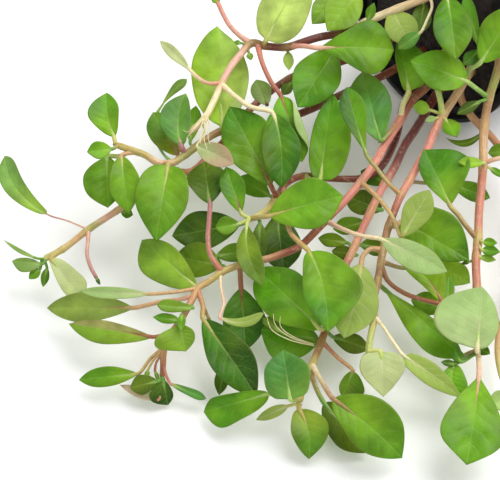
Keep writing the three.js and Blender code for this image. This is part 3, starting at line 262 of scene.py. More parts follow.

# Leaves: the pixel where the leaf stalk leaves its stem, then the points that
# the stalk passes, if any, and the base and tip of the blade, each as pixel
# across, pixel down and height, then the blade's width and its form:
# outline  name of the outline, elliptic where none is given
# sides    widths of the left and right half, as shares of an even half
# bow      rise of the midrib over the line from base to tip
# sway     swing of the midrib to the left
# cup      rise of the margins over the midrib, as a share of the half width
# curl     side whose margin rolls over the upper face, -1 left or 1 right,
#          and the share of the half width where the roll starts
# and its colours: tone of the upper face, other for one half that differs,
# under of the lower face, rib, and stalk at the foot and at the blade. A leaf
# with its lower face to the camera has flipped set.
# On most leaves that have it, other paints light and shade: one half painted lighter or darker than the
# rest, as the fold turns it toward the light or away from it. Where other is dun, the half is a tan of the
# leaf's own colour.
LEAVES = {
    "top": [
        dict(foot=(290, 46), via=[(304, 46, 31)], base=(318, 48, 31.5), tip=(394, 50, 30),
             width=13.6, bow=1.4, cup=0.08, outline="obovate", tone="mid", rib="tan",
             stalk=("salmon", "peach")),
        dict(foot=(264, 46), base=(266, 40, 30.5), tip=(308, -35, 44), width=12.2, bow=1, cup=0.08,
             outline="ovate", sides=(0.9, 1.1), tone="lit", stalk=("rust", "lemon")),
        dict(foot=(255, 48), via=[(262, 62, 28), (271, 82, 26)], base=(281, 96, 24.5),
             tip=(302, 162, 17.5), width=10.4, bow=1.5, curl=(-1, 0.45), tone="bright", rib="rust",
             stalk=("salmon", "rust")),
        dict(foot=(226, 86), via=[(236, 97, 26.5), (251, 107, 26)], base=(273, 113, 24.8),
             tip=(281, 188, 17), width=9.4, bow=1.5, sway=1, cup=0.08, outline="round", tone="deep",
             stalk=("cream", "cream")),
        dict(foot=(203, 121), via=[(204, 134, 24)], base=(197, 147, 24), tip=(234, 164, 23),
             width=5.6, bow=0.8, cup=0.2, outline="round", tone="fresh", under="blush",
             flipped=True, stalk=("lemon", "cream"), stalk_width=0.6),
        dict(foot=(436, -7), base=(447, -4, 41.5), tip=(456, 60, 37), width=9.4, bow=1, cup=0.15,
             tone="mid", stalk=("lemon", "lemon")),
    ],
    "upper_left": [
        dict(foot=(222, 131), base=(222, 127, 20), tip=(217, 27, 24), width=14.2, bow=1, cup=0.06,
             outline="broad", tone="yellow", other=(1, "lime"), stalk=("tan", "lemon")),
        dict(foot=(187, 155), base=(181, 146, 21.5), tip=(186, 94, 26), width=7.6, bow=1, sway=1.2,
             cup=0.15, outline="broad", sides=(1.2, 0.8), tone="bluish", stalk=("mauve", "mauve"),
             stalk_width=1.6),
        dict(foot=(172, 162), via=[(178, 158, 18.5)], base=(178, 155, 18.5), tip=(153, 112, 20.5),
             width=8, cup=0.15, outline="round", tone="turning", rib="brown", stalk=("tan", "brown")),
        dict(foot=(164, 163), base=(168, 165, 22.5), tip=(156, 242, 16), width=12.6, bow=1.2,
             cup=0.08, outline="ovate", sides=(0.97, 1.03), tone="mid", rib="lemon",
             stalk=("rust", "straw")),
        dict(foot=(136, 152), base=(121, 156, 22.8), tip=(129, 213, 17), width=7.4, bow=1.2,
             cup=0.2, outline="round", tone="fresh", stalk=("tan", "tan")),
        dict(foot=(131, 150), via=[(121, 156, 21)], base=(107, 157, 20), tip=(108, 208, 15),
             width=9.6, bow=1, cup=0.12, outline="round", sides=(0.8, 1.2), tone="bright",
             stalk=("straw", "pale")),
        dict(foot=(116, 144), base=(114, 137, 24), tip=(107, 93, 29), width=7.4, bow=1, sway=0.6,
             cup=0.3, outline="round", sides=(1.25, 0.75), tone="fresh", stalk=("straw", "lemon")),
    ],
    "left": [
        dict(foot=(86, 227), via=[(68, 221, 13)], base=(47, 214, 14), tip=(5, 156, 18), width=5.4,
             bow=1, sway=2.4, cup=0.2, outline="strap", tone="cool", stalk=("peach", "mauve"),
             stalk_width=0.45),
        dict(foot=(62, 249), base=(51, 259, 10.5), tip=(81, 300, 5), width=5.8, bow=1, cup=0.12,
             outline="strap", sides=(1.25, 0.75), tone="fresh", under="chalk", flipped=True,
             stalk=("straw", "straw"), stalk_width=1.5),
    ],
    "inner": [
        dict(foot=(247, 217), base=(241, 213, 16), tip=(226, 167, 21), width=5.8, bow=0.8, cup=0.2,
             tone="mid", rib="mauve", stalk=("lemon", "lemon")),
        dict(foot=(277, 197), via=[(275, 194, 14)], base=(271, 186, 16), tip=(230, 107, 24),
             width=12.2, bow=1, cup=0.08, tone="mid", rib="brown", stalk=("rust", "rust")),
        dict(foot=(249, 221), base=(247, 225, 16.5), tip=(263, 287, 16), width=5.8, bow=0.8,
             sway=-1.4, cup=0.2, tone="olive", stalk=("lemon", "lemon")),
        dict(foot=(252, 218), via=[(260, 217, 18)], base=(269, 216, 19.5), tip=(343, 196, 23),
             width=12, bow=1.2, tone="fresh", rib="straw", stalk=("straw", "straw")),
        dict(foot=(283, 188), via=[(286, 211, 14), (290, 232, 17), (300, 243, 19.5)],
             base=(309, 252, 20.5), tip=(328, 332, 18), width=13.2, bow=1.2, sway=1.2,
             outline="round", sides=(1.3, 0.7), tone="mid", stalk=("salmon", "straw")),
        dict(foot=(305, 176), via=[(311, 180, 11.5)], base=(320, 181, 13), tip=(332, 92, 22.6),
             width=10, cup=0.08, outline="ovate", sides=(0.75, 1.25), tone="bright",
             stalk=("lemon", "lemon")),
    ],
    "long": [
        dict(foot=(398, 118), via=[(403, 105, 19.5)], base=(409, 91, 20.5), tip=(398, 40, 25),
             width=7.6, bow=0.8, cup=0.12, outline="full", sides=(0.5, 1.5), tone="fresh",
             stalk=("cream", "lemon"), stalk_width=1.5),
        dict(foot=(362, 183), via=[(375, 195, 19), (388, 210, 19.5), (395, 222, 19)],
             base=(402, 237, 19), tip=(430, 190, 24), width=6.6, bow=0.6, tone="fresh",
             under="sallow", flipped=True, stalk=("tan", "straw")),
        dict(foot=(327, 221), via=[(345, 230, 18), (362, 236, 20)], base=(381, 239, 21),
             tip=(447, 272, 21.5), width=6.6, bow=0.8, sides=(0.88, 1.12), tone="fresh",
             flipped=True, stalk=("peach", "cream")),
        dict(foot=(199, 290), via=[(203, 306, 12.8)], base=(203, 319, 12), tip=(257, 396, 6.5),
             width=9.6, bow=1, cup=0.12, tone="deep", other=(-1, "dark"), rib="straw",
             stalk=("rose", "straw")),
        dict(foot=(220, 269), via=[(211, 256, 16), (208, 240, 16.5), (209, 222, 16.5)],
             base=(210, 204, 16.5), tip=(204, 162, 17.5), width=9.4, bow=0.5, cup=0.08, tone="dark",
             stalk=("rose", "mauve")),
        dict(foot=(197, 289), base=(196, 287, 11.5), tip=(142, 240, 10), width=9.4, bow=0.8,
             outline="round", sides=(1.25, 0.75), tone="soft", stalk=("lemon", "lemon")),
        dict(foot=(197, 288), via=[(175, 292, 15)], base=(151, 294, 15), tip=(79, 291, 13),
             width=2.9, bow=0.8, sway=0.3, cup=0.3, tone="grey", flipped=True, stalk=("tan", "tan"),
             stalk_width=0.9),
        dict(foot=(194, 297), via=[(182, 299, 12), (160, 302, 11.5)], base=(133, 308, 11),
             tip=(47, 308, 7), width=7, bow=0.8, cup=0.15, tone="sallow", rib="tan",
             stalk=("peach", "tan")),
        dict(foot=(176, 328), via=[(166, 334, 10.5)], base=(152, 337, 10), tip=(69, 324, 8),
             width=5.4, bow=1.2, cup=0.15, sides=(1.3, 0.7), tone="soft", other=(1, "dun"),
             rib="rust", stalk=("rose", "rust")),
        dict(foot=(179, 324), base=(180, 325, 14.6), tip=(186, 351, 12.6), width=9.5, bow=0.6,
             cup=0.12, outline="round", sides=(0.6, 1.4), tone="soft"),
        dict(foot=(164, 346), via=[(151, 358, 6.5)], base=(138, 374, 6), tip=(79, 380, 4),
             width=4.7, bow=0.8, cup=0.25, tone="bright", stalk=("tan", "straw"), stalk_width=0.9),
    ],
    "middle": [
        dict(foot=(325, 326), base=(320, 329, 12), tip=(257, 269, 13), width=12, bow=1.2,
             outline="round", sides=(1.05, 0.95), tone="bright", stalk=("tan", "lemon")),
        dict(foot=(299, 398), base=(290, 399, 11.5), tip=(283, 350, 17), width=10.4, bow=0.8,
             cup=0.15, outline="full", tone="bluish", stalk=("straw", "pale")),
        dict(foot=(299, 409), base=(299, 409, 7.5), tip=(309, 459, 2.5), width=8.4, bow=1, sway=1,
             cup=0.12, outline="broad", sides=(1.12, 0.88), tone="ripening", rib="straw",
             stalk=("straw", "straw")),
        dict(foot=(314, 366), via=[(322, 382, 11)], base=(333, 399, 11.5), tip=(402, 458, 5),
             width=11.8, bow=1.4, sway=0.5, outline="round", sides=(1.12, 0.88), tone="mid",
             rib="brown", stalk=("cream", "brown")),
        dict(foot=(297, 401), via=[(284, 394, 8.5)], base=(269, 394, 8.5), tip=(204, 412, 3.5),
             width=7.4, bow=1.2, cup=0.15, outline="strap", sides=(1.25, 0.75), curl=(1, 0.7),
             tone="bright", stalk=("straw", "pale")),
    ],
    "centre": [
        dict(foot=(398, 194), via=[(389, 184, 20), (378, 170, 21)], base=(367, 156, 22.5),
             tip=(347, 87, 29), width=6.2, bow=0.6, sway=0.3, cup=0.2, outline="obovate",
             tone="deep", other=(1, "bright"), stalk=("tan", "moss")),
        dict(foot=(389, 226), via=[(396, 226, 14)], base=(402, 222, 13), tip=(469, 260, 13),
             width=12, bow=1, outline="full", sides=(1.2, 0.8), tone="mid", stalk=("tan", "tan")),
        dict(foot=(383, 265), via=[(388, 281, 13.5), (404, 293, 13.5), (424, 300, 14)],
             base=(443, 303, 14.5), tip=(394, 250, 17), width=7.6, bow=0.8, sway=-1, cup=0.12,
             sides=(0.6, 1.4), tone="yellow", rib="salmon", stalk=("brown", "rust")),
        dict(foot=(380, 282), base=(383, 288, 11), tip=(463, 357, 8), width=7.5, bow=1,
             outline="obovate", sides=(0.6, 1.35), tone="fresh", stalk=("brown", "green")),
        dict(foot=(369, 351), base=(381, 352, 13.5), tip=(383, 397, 9), width=10.2, bow=0.6,
             cup=0.12, outline="deltoid", tone="fresh", under="chalk", flipped=True,
             stalk=("lemon", "lemon")),
        dict(foot=(374, 316), via=[(384, 328, 14.5), (394, 343, 14.5)], base=(404, 356, 14),
             tip=(462, 398, 9), width=4.9, bow=1, cup=0.2, outline="ovate", tone="fresh",
             under="sallow", flipped=True, stalk=("cream", "cream"), stalk_width=0.9),
    ],
    "right": [
        dict(foot=(487, 98), via=[(477, 89, 27)], base=(466, 81, 28.5), tip=(410, 61, 32),
             width=9.8, bow=0.8, cup=0.12, outline="broad", tone="fresh", stalk=("green", "pale")),
        dict(foot=(475, 239), via=[(466, 226, 15), (458, 215, 16)], base=(450, 206, 17),
             tip=(424, 150, 21), width=12, bow=0.8, outline="rhombic", sides=(0.58, 1.42),
             tone="mid", stalk=("brown", "straw")),
        dict(foot=(478, 352), base=(477, 349, 13.6), tip=(482, 287, 18), width=15, bow=0.8,
             outline="ovate", sides=(1.43, 0.57), tone="fresh", flipped=True,
             stalk=("cream", "cream")),
        dict(foot=(478, 354), via=[(479, 364, 10.4)], base=(479, 375, 11), tip=(467, 464, 9),
             width=14.2, bow=1.4, cup=0.08, outline="obovate", tone="fresh", rib="salmon",
             stalk=("cream", "peach")),
    ],
    "back_left": [
        dict(foot=(364, -13), base=(360, -8, 36), tip=(327, 31, 33), width=9, bow=0.6, cup=0.15,
             tone="soft", stalk=("tan", "lemon")),
    ],
}

# Small leaves, buds and bare stalks, each grown in one with its stem
LEAFLETS = {
    "top": [
        dict(foot=(338, 34), via=[(337, 43, 27.5)], base=(335, 51, 26), tip=(298, 107, 22.5),
             width=11.4, bow=0.8, outline="round", tone="bright", stalk=("rust", "green")),
        dict(foot=(219, 83), via=[(207, 83, 27.5), (197, 77, 28)], base=(190, 70, 28),
             tip=(160, 41, 30), width=2.8, bow=0.6, cup=0.3, tone="olive", under="chalk",
             flipped=True, stalk=("salmon", "cream"), stalk_width=1),
        dict(foot=(250, 43), via=[(240, 36, 29), (230, 26, 30.5), (223, 14, 32)],
             base=(218, 3, 33.5), tip=(214, -4, 34), width=2.4, tone="olive",
             stalk=("peach", "salmon"), stalk_width=1.3),
        dict(foot=(287, 48), base=(288, 52, 27.5), tip=(289, 70, 26), width=2.6, tone="lime"),
        dict(foot=(247, 47), base=(249, 53, 27.5), tip=(251, 60, 27), width=1.7, tone="olive",
             stalk=("brown", "green")),
        dict(foot=(246, 45), base=(241, 43, 29), tip=(234, 42, 29.5), width=1.2, tone="deep",
             stalk=("brown", "green")),
        dict(foot=(424, -2), base=(424, 2, 34), tip=(419, 34, 31), width=5, cup=0.15, tone="olive",
             stalk=("pale", "pale")),
        dict(foot=(398, 9), base=(392, 11, 33), tip=(410, 46, 31), width=8.2, bow=0.5,
             outline="round", tone="fresh", under="sallow", flipped=True, stalk=("pale", "pale")),
        dict(foot=(430, -4), via=[(432, 7, 36.8), (427, 20, 36.2)], base=(421, 32, 35),
             tip=(398, 49, 31.5), width=3.6, tone="bluish", stalk=("cream", "cream"),
             stalk_width=0.8),
        dict(foot=(366, 22), base=(368, 20, 33.5), tip=(374, 3, 37), width=2.4, cup=0.2, tone="mid"),
    ],
    "upper_left": [
        dict(foot=(193, 149), base=(190, 142, 17.5), tip=(196, 106, 18.5), width=3.8, cup=0.2,
             tone="fresh"),
        dict(foot=(118, 146), base=(112, 149, 24), tip=(87, 152, 25), width=4.4, cup=0.3,
             tone="fresh", stalk=("tan", "green")),
        dict(foot=(172, 163), via=[(162, 152, 16.5), (154, 134, 17)], base=(157, 113, 18),
             tip=(187, 79, 23), width=2.5, sway=0.6, cup=0.2, outline="spoon", tone="cool"),
    ],
    "left": [
        dict(foot=(266, 95), base=(267, 105, 14.5), tip=(256, 80, 17), width=5.2, cup=0.15,
             outline="round", tone="pale", stalk=("maroon", "maroon")),
        dict(foot=(48, 257), base=(42, 264, 9.4), tip=(12, 261, 10), width=3.6, cup=0.2,
             sides=(1.4, 0.6), tone="grey"),
        dict(foot=(43, 259), base=(36, 258, 10.8), tip=(4, 240, 12), width=1, sway=0.4, tone="grey"),
        dict(foot=(45, 259), base=(47, 268, 8.2), tip=(43, 287, 5.2), width=2, tone="deep"),
        dict(foot=(88, 229), via=[(88, 240, 11.5), (87, 254, 11), (91, 268, 10.5)],
             base=(96, 277, 10), tip=(100, 285, 9), width=0.9, tone="dark",
             stalk=("peach", "mauve"), stalk_width=1),
        dict(foot=(118, 208), base=(121, 211, 12), tip=(133, 215, 10.5), width=2.6, tone="deep",
             stalk=("brown", "green")),
        dict(foot=(43, 260), base=(40, 269, 8), tip=(29, 279, 6.8), width=2.4, tone="mid"),
        dict(foot=(290, 80), base=(291, 82, 15.5), tip=(283, 95, 14.5), width=3, tone="dark",
             stalk=("maroon", "green")),
    ],
    "inner": [
        dict(foot=(262, 213), base=(240, 224, 11), tip=(172, 236, 9), width=9.5, cup=0.08,
             tone="dark"),
        dict(foot=(248, 218), base=(239, 224, 16), tip=(215, 228, 16), width=4.4, cup=0.4,
             tone="mid", stalk=("lemon", "pale")),
        dict(foot=(257, 217), base=(260, 222, 12.5), tip=(259, 262, 9.5), width=4.2, tone="dark"),
        dict(foot=(274, 200), base=(277, 216, 10), tip=(284, 272, 6.5), width=10, outline="round",
             tone="dark"),
        dict(foot=(277, 197), base=(270, 196, 10.5), tip=(238, 177, 10), width=5.6, tone="fresh",
             stalk=("brown", "green")),
    ],
    "long": [
        dict(foot=(397, 121), via=[(389, 133, 18.6)], base=(380, 141, 18.5), tip=(362, 72, 22),
             width=10, bow=0.5, outline="round", tone="bluish", stalk=("salmon", "green")),
        dict(foot=(240, 267), base=(241, 288, 10), tip=(246, 350, 4), width=10, tone="deep",
             rib="rust", stalk=("brown", "rust")),
        dict(foot=(162, 377), base=(163, 379, 5.5), tip=(168, 405, 1.2), width=5.5, bow=0.6,
             cup=0.2, sides=(0.6, 1.4), tone="dark"),
        dict(foot=(221, 274), via=[(221, 288, 12.8), (224, 304, 13.5)], base=(220, 318, 14),
             tip=(264, 313, 14), width=2.4, sway=-1.6, outline="strap", tone="olive",
             under="sallow", flipped=True, stalk=("cream", "peach"), stalk_width=0.8),
        dict(foot=(223, 271), base=(222, 266, 9.5), tip=(175, 256, 6.5), width=8.8, tone="olive"),
        dict(foot=(190, 305), base=(193, 308, 14), tip=(157, 305, 15.5), width=3, cup=0.2,
             outline="strap", tone="soft"),
        dict(foot=(184, 317), base=(179, 320, 12.8), tip=(153, 317, 13.4), width=2.4, cup=0.2,
             tone="bright"),
        dict(foot=(183, 316), base=(182, 315, 15), tip=(181, 331, 17), width=1.9, cup=0.3,
             tone="fresh"),
        dict(foot=(163, 360), via=[(165, 372, 6.5)], base=(171, 384, 5.5), tip=(206, 399, 3.5),
             width=2, cup=0.2, outline="strap", tone="bluish", stalk=("rose", "rose")),
        dict(foot=(162, 379), base=(158, 400, 3), tip=(120, 385, 3.5), width=2.4, cup=0.2,
             tone="fresh", under="pink", flipped=True, stalk=("rose", "rose")),
        dict(foot=(162, 377), base=(158, 381, 6), tip=(130, 388, 4.5), width=4.6, cup=0.2,
             tone="gloom"),
        dict(foot=(164, 348), via=[(155, 358, 7), (150, 366, 6.8)], base=(148, 370, 6.5),
             tip=(146, 379, 6), width=1.2, cup=0.2, tone="olive", stalk=("tan", "straw")),
        dict(foot=(163, 354), via=[(157, 361, 6.5)], base=(155, 371, 6), tip=(159, 381, 5.5),
             width=1, tone="olive", stalk=("tan", "rust")),
        dict(foot=(223, 271), via=[(217, 262, 11)], base=(216, 256, 10.5), tip=(250, 250, 11),
             width=4.6, tone="deep"),
        dict(foot=(198, 291), via=[(206, 312, 9.5), (217, 338, 6.5)], base=(226, 360, 5),
             tip=(219, 395, 2.5), width=3.4, tone="dark", stalk=("rust", "green")),
    ],
    "middle": [
        dict(foot=(311, 370), via=[(317, 390, 6.5)], base=(324, 403, 5.5), tip=(367, 453, 1.5),
             width=8.5, bow=0.6, cup=0.12, outline="round", tone="gloom", stalk=("tan", "green")),
        dict(foot=(320, 343), base=(319, 340, 8), tip=(261, 330, 7), width=10.4, cup=0.12,
             outline="round", sides=(1.25, 0.75), tone="bright"),
        dict(foot=(318, 348), via=[(296, 338, 9.5)], base=(281, 332, 10), tip=(263, 318, 10.5),
             width=2.4, cup=0.2, outline="strap", tone="olive"),
        dict(foot=(297, 405), base=(288, 406, 8), tip=(256, 420, 5), width=2.6, cup=0.3,
             tone="olive", under="sallow", flipped=True, stalk=("lemon", "lemon")),
        dict(foot=(322, 341), via=[(338, 358, 8)], base=(353, 371, 7), tip=(342, 397, 4), width=5.8,
             cup=0.15, outline="round", sides=(1.42, 0.58), tone="deep", stalk=("rose", "tan")),
        dict(foot=(325, 330), base=(333, 337, 8.5), tip=(369, 349, 6), width=4.6, outline="round",
             tone="gloom"),
        dict(foot=(372, 208), base=(382, 210, 8.5), tip=(347, 197, 5.5), width=6.6, outline="round",
             tone="gloom"),
        dict(foot=(369, 216), base=(366, 222, 8.5), tip=(333, 229, 6.5), width=4.4, tone="mid"),
        dict(foot=(355, 245), base=(360, 245, 8.5), tip=(390, 247, 7.5), width=5, tone="dark"),
        dict(foot=(385, 182), base=(388, 184, 6.6), tip=(361, 171, 5), width=5, tone="deep"),
        dict(foot=(352, 251), base=(348, 243, 8), tip=(318, 238, 7), width=3.6, tone="olive"),
        dict(foot=(350, 256), base=(357, 255, 7.5), tip=(332, 251, 6), width=3.6, tone="gloom"),
    ],
    "centre": [
        dict(foot=(369, 350), base=(368, 353, 12.6), tip=(364, 366, 11.5), width=2, cup=0.2,
             tone="fresh", stalk=("pale", "pale")),
        dict(foot=(443, 115), via=[(436, 112, 21)], base=(430, 110, 21.5), tip=(413, 106, 22.5),
             width=3.6, cup=0.25, outline="round", tone="yellow", stalk=("lemon", "lemon")),
        dict(foot=(443, 117), base=(446, 120, 21), tip=(457, 137, 21.5), width=4.4, cup=0.25,
             outline="round", tone="fresh", stalk=("lemon", "lemon")),
        dict(foot=(442, 117), base=(436, 118, 20.8), tip=(425, 121, 21), width=1.8, tone="pale",
             stalk=("lemon", "lemon")),
        dict(foot=(407, 181), via=[(425, 183, 13.5)], base=(452, 184, 11), tip=(490, 198, 9),
             width=4.8, tone="mid", stalk=("brown", "green")),
        dict(foot=(382, 262), via=[(405, 268, 10.5)], base=(436, 262, 8.5), tip=(470, 283, 7),
             width=6, tone="yellow", stalk=("brown", "green")),
        dict(foot=(383, 251), via=[(371, 249, 15.5), (363, 256, 15.5)], base=(361, 265, 15.5),
             tip=(344, 338, 15), width=11, sway=0.5, cup=0.08, outline="round", tone="fresh",
             under="sallow", flipped=True, stalk=("tan", "tan")),
        dict(foot=(443, 116), via=[(441, 104, 23)], base=(438, 90, 25), tip=(436, 74, 27), width=3,
             tone="lime", stalk=("lemon", "pale"), stalk_width=1.6),
        dict(foot=(466, 77), via=[(471, 69, 29)], base=(481, 62, 33), tip=(518, 6, 44), width=9.6,
             bow=1, outline="round", tone="fresh", stalk=("pale", "pale")),
    ],
    "right": [
        dict(foot=(488, 42), base=(478, 44, 35.5), tip=(465, -4, 42), width=3.4, cup=0.2,
             outline="strap", tone="bright"),
        dict(foot=(485, 164), base=(484, 163, 20), tip=(458, 162, 23), width=2.8, tone="yellow",
             stalk=("pale", "pale")),
        dict(foot=(479, 240), base=(483, 242, 14.5), tip=(497, 243, 16), width=2.2, cup=0.2,
             tone="fresh", stalk=("lemon", "lemon")),
        dict(foot=(479, 242), base=(482, 250, 13.8), tip=(500, 252, 14.5), width=2.6, cup=0.2,
             tone="mid", stalk=("lemon", "lemon")),
        dict(foot=(477, 243), base=(480, 257, 12.8), tip=(496, 260, 12.5), width=1.8, cup=0.2,
             tone="soft", stalk=("lemon", "lemon")),
        dict(foot=(474, 256), base=(471, 261, 12), tip=(461, 264, 11), width=1, tone="dark"),
        dict(foot=(477, 350), via=[(467, 354, 10.5)], base=(454, 364, 10.5), tip=(461, 398, 8),
             width=6.2, sway=-1.1, cup=0.2, outline="round", tone="fresh", stalk=("tan", "green")),
        dict(foot=(467, 354), base=(461, 362, 11.5), tip=(455, 351, 13), width=2.8, cup=0.2,
             tone="mid"),
        dict(foot=(459, 363), base=(455, 364, 11), tip=(441, 362, 11.5), width=1.6, tone="deep"),
        dict(foot=(478, 351), base=(479, 348, 10), tip=(490, 354, 11), width=2.4, tone="deep"),
        dict(foot=(486, 163), via=[(496, 159, 19)], base=(507, 157, 19.5), tip=(540, 150, 21),
             width=8, tone="bright", stalk=("salmon", "cream")),
        dict(foot=(486, 166), base=(490, 168, 17), tip=(505, 177, 16.5), width=1.8, tone="mid",
             stalk=("lemon", "lemon")),
        dict(foot=(487, 99), base=(481, 101, 26), tip=(457, 114, 24), width=2.8, tone="gloom"),
        dict(foot=(490, 46), base=(480, 50, 33), tip=(463, 65, 31.5), width=3.4, tone="deep"),
        dict(foot=(475, 290), via=[(462, 304, 13)], base=(448, 307, 13.2), tip=(449, 277, 14.5),
             width=2.8, tone="mid", stalk=("cream", "pale")),
        dict(foot=(485, 126), base=(484, 131, 18.5), tip=(446, 138, 15), width=1.8, sway=2.2,
             cup=0.2, tone="dark"),
        dict(foot=(476, 302), via=[(463, 307, 8)], base=(449, 308, 8), tip=(411, 300, 9), width=5.6,
             tone="mid"),
    ],
    "back_left": [
        dict(foot=(352, -15), base=(344, -12, 33.5), tip=(312, 24, 30.5), width=6.5, tone="soft"),
    ],
    "far_right": [
        dict(foot=(520, 148), base=(513, 150, 13), tip=(488, 153, 12), width=4, cup=0.15,
             tone="deep"),
        dict(foot=(508, 392), base=(511, 396, 5), tip=(489, 405, 6), width=4.6, cup=0.2,
             tone="pale", stalk=("lemon", "lemon")),
        dict(foot=(519, 170), base=(524, 176, 13), tip=(548, 205, 14), width=8, tone="bright",
             stalk=("rose", "lemon")),
        dict(foot=(513, 262), base=(518, 266, 9), tip=(545, 300, 8), width=8, tone="mid",
             stalk=("rose", "lemon")),
    ],
}

# Fine pale strands that hang from a stem, each as the places that it passes
STRANDS = {
    "top": [
        [(203, 119, 25.4), (197, 126, 25.6), (190, 134, 25), (186, 139, 24)],
        [(204, 119, 25.4), (200, 129, 25.8), (196, 136, 25.4), (194, 142, 24.6)],
        [(205, 119, 25.4), (204, 129, 26), (200, 137, 25.6), (201, 144, 25.2)],
        [(206, 118, 25.4), (207, 128, 26.2), (204, 138, 26), (207, 149, 25.6)],
        [(207, 117, 25.4), (210, 127, 26.2), (208, 136, 26), (210, 145, 25.6)],
        [(202, 121, 25.2), (194, 128, 25.4), (188, 132, 24.8), (183, 130, 24)],
    ],
    "middle": [
        [(316, 345, 9.5), (292, 338, 11.5), (276, 326, 12.4), (273, 309, 12)],
        [(316, 346, 9.5), (290, 340, 11.5), (272, 330, 12.4), (266, 314, 12)],
        [(316, 345, 9.5), (294, 337, 11.5), (281, 327, 12.4), (281, 312, 12)],
    ],
}
STRAND_WIDTH = 0.32

# An outline's half width grows as a power of the share from the base, and
# falls to the tip as one less a power of that share.
OUTLINES = {
    "elliptic": (0.72, 2.6),
    "ovate": (0.38, 2),
    "broad": (0.5, 2.2),
    "full": (0.22, 3.4),
    "obovate": (1.1, 4),
    "round": (0.58, 3),
    "strap": (0.45, 8),
    "rhombic": (0.9, 2.2),
    "deltoid": (0.32, 1.4),
    "spoon": (1.7, 7),
    "bud": (0.55, 2),
}


# Routes

def route_place(places, position):
    """A point of a smooth curve through places, at a position from 0 to their count less 1."""
    before = min(int(position), len(places) - 2)
    share = position - before
    here, there = places[before], places[before + 1]
    earlier = places[before - 1] if before > 0 else here * 2 - there
    later = places[before + 2] if before + 2 < len(places) else there * 2 - here
    spans = ((earlier, here), (here, there), (there, later))
    reach = [math.sqrt(max((b - a).length, 1e-6)) for a, b in spans]
    leaving = ((here - earlier) / reach[0] - (there - earlier) / (reach[0] + reach[1])
               + (there - here) / reach[1]) * reach[1]
    arriving = ((there - here) / reach[1] - (later - here) / (reach[1] + reach[2])
                + (later - there) / reach[2]) * reach[1]
    square, cube = share * share, share * share * share
    return (here * (2 * cube - 3 * square + 1) + leaving * (cube - 2 * square + share)
            + there * (3 * square - 2 * cube) + arriving * (cube - square))


def evenly(points, count):
    """The same line as count + 1 points at even distances."""
    travelled = [0.0]
    for a, b in zip(points, points[1:]):
        travelled.append(travelled[-1] + (b - a).length)
    spaced, index = [], 0
    for step in range(count + 1):
        goal = travelled[-1] * step / count
        while index < len(points) - 2 and travelled[index + 1] < goal:
            index += 1
        stretch = max(travelled[index + 1] - travelled[index], 1e-9)
        spaced.append(points[index].lerp(points[index + 1], (goal - travelled[index]) / stretch))
    return spaced


def line_place(line, share):
    position = min(max(share, 0.0), 1.0) * (len(line) - 1)
    before = min(int(position), len(line) - 2)
    return line[before].lerp(line[before + 1], position - before)


def line_length(line):
    return sum((b - a).length for a, b in zip(line, line[1:]))


LINE_STEPS = 240
FINE_STEPS = 600
stem_lines = {}
for stem_name, stem in STEMS.items():
    knots = [on_medium(stem["start"])] + [at(place) for place in stem["route"]]
    fine = [route_place(knots, step * (len(knots) - 1) / FINE_STEPS) for step in range(FINE_STEPS + 1)]
    stem_lines[stem_name] = evenly(fine, LINE_STEPS)


def stem_radius(stem, share):
    start, end = stem["width"]
    return (start + (end - start) * share) / 2


def nearest_share(line, pixel):
    """The share of a stem's length that is seen nearest to a pixel."""
    distances = [((place - at((*pixel, place.z))).length, index) for index, place in enumerate(line)]
    return min(distances)[1] / (len(line) - 1)


def mix(first, second, share):
    return tuple(a + (b - a) * share for a, b in zip(first, second))


def smooth(low, high, value):
    share = min(max((value - low) / (high - low), 0.0), 1.0)
    return share * share * (3 - 2 * share)


# Making of meshes

def deselect():
    bpy.ops.object.select_all(action="DESELECT")


def edit(select="SELECT"):
    bpy.ops.object.mode_set(mode="EDIT")
    bpy.ops.mesh.select_all(action=select)


def done():
    bpy.ops.object.mode_set(mode="OBJECT")


def copy_of(blank, name):
    """A copy of a blank with a mesh of its own."""
    piece = blank.copy()
    piece.data = blank.data.copy()
    piece.name = piece.data.name = name
    piece.hide_render = False
    bpy.context.scene.collection.objects.link(piece)
    return piece


def make_active(piece):
    deselect()
    piece.select_set(True)
    bpy.context.view_layer.objects.active = piece


def join(pieces, name):
    deselect()
    for piece in pieces:
        piece.select_set(True)
    bpy.context.view_layer.objects.active = pieces[0]
    bpy.ops.object.join()
    pieces[0].name = pieces[0].data.name = name
    return pieces[0]


def apply_modifier(piece, kind, **settings):
    make_active(piece)
    modifier = piece.modifiers.new(kind.title(), kind)
    for setting, value in settings.items():
        setattr(modifier, setting, value)
    bpy.ops.object.modifier_apply(modifier=modifier.name)


def write_places(piece, places):
    """Sets a mesh's vertices, given in millimetres round the view's target."""
    flat = []
    for place in places:
        flat.extend((place + SHIFT) * MM)
    piece.data.vertices.foreach_set("co", flat)
    piece.data.update()


COLOURS = ("tone", "under", "rib")


def add_attributes(piece):
    for name in COLOURS:
        piece.data.attributes.new(name, "FLOAT_COLOR", "POINT")
    piece.data.attributes.new("span", "FLOAT_VECTOR", "POINT")


def paint(piece, name, colours):
    flat = []
    for colour in colours:
        flat.extend((*colour, 1.0))
    piece.data.attributes[name].data.foreach_set("color", flat)


def measure(piece, spans):
    flat = []
    for span in spans:
        flat.extend(span)
    piece.data.attributes["span"].data.foreach_set("vector", flat)


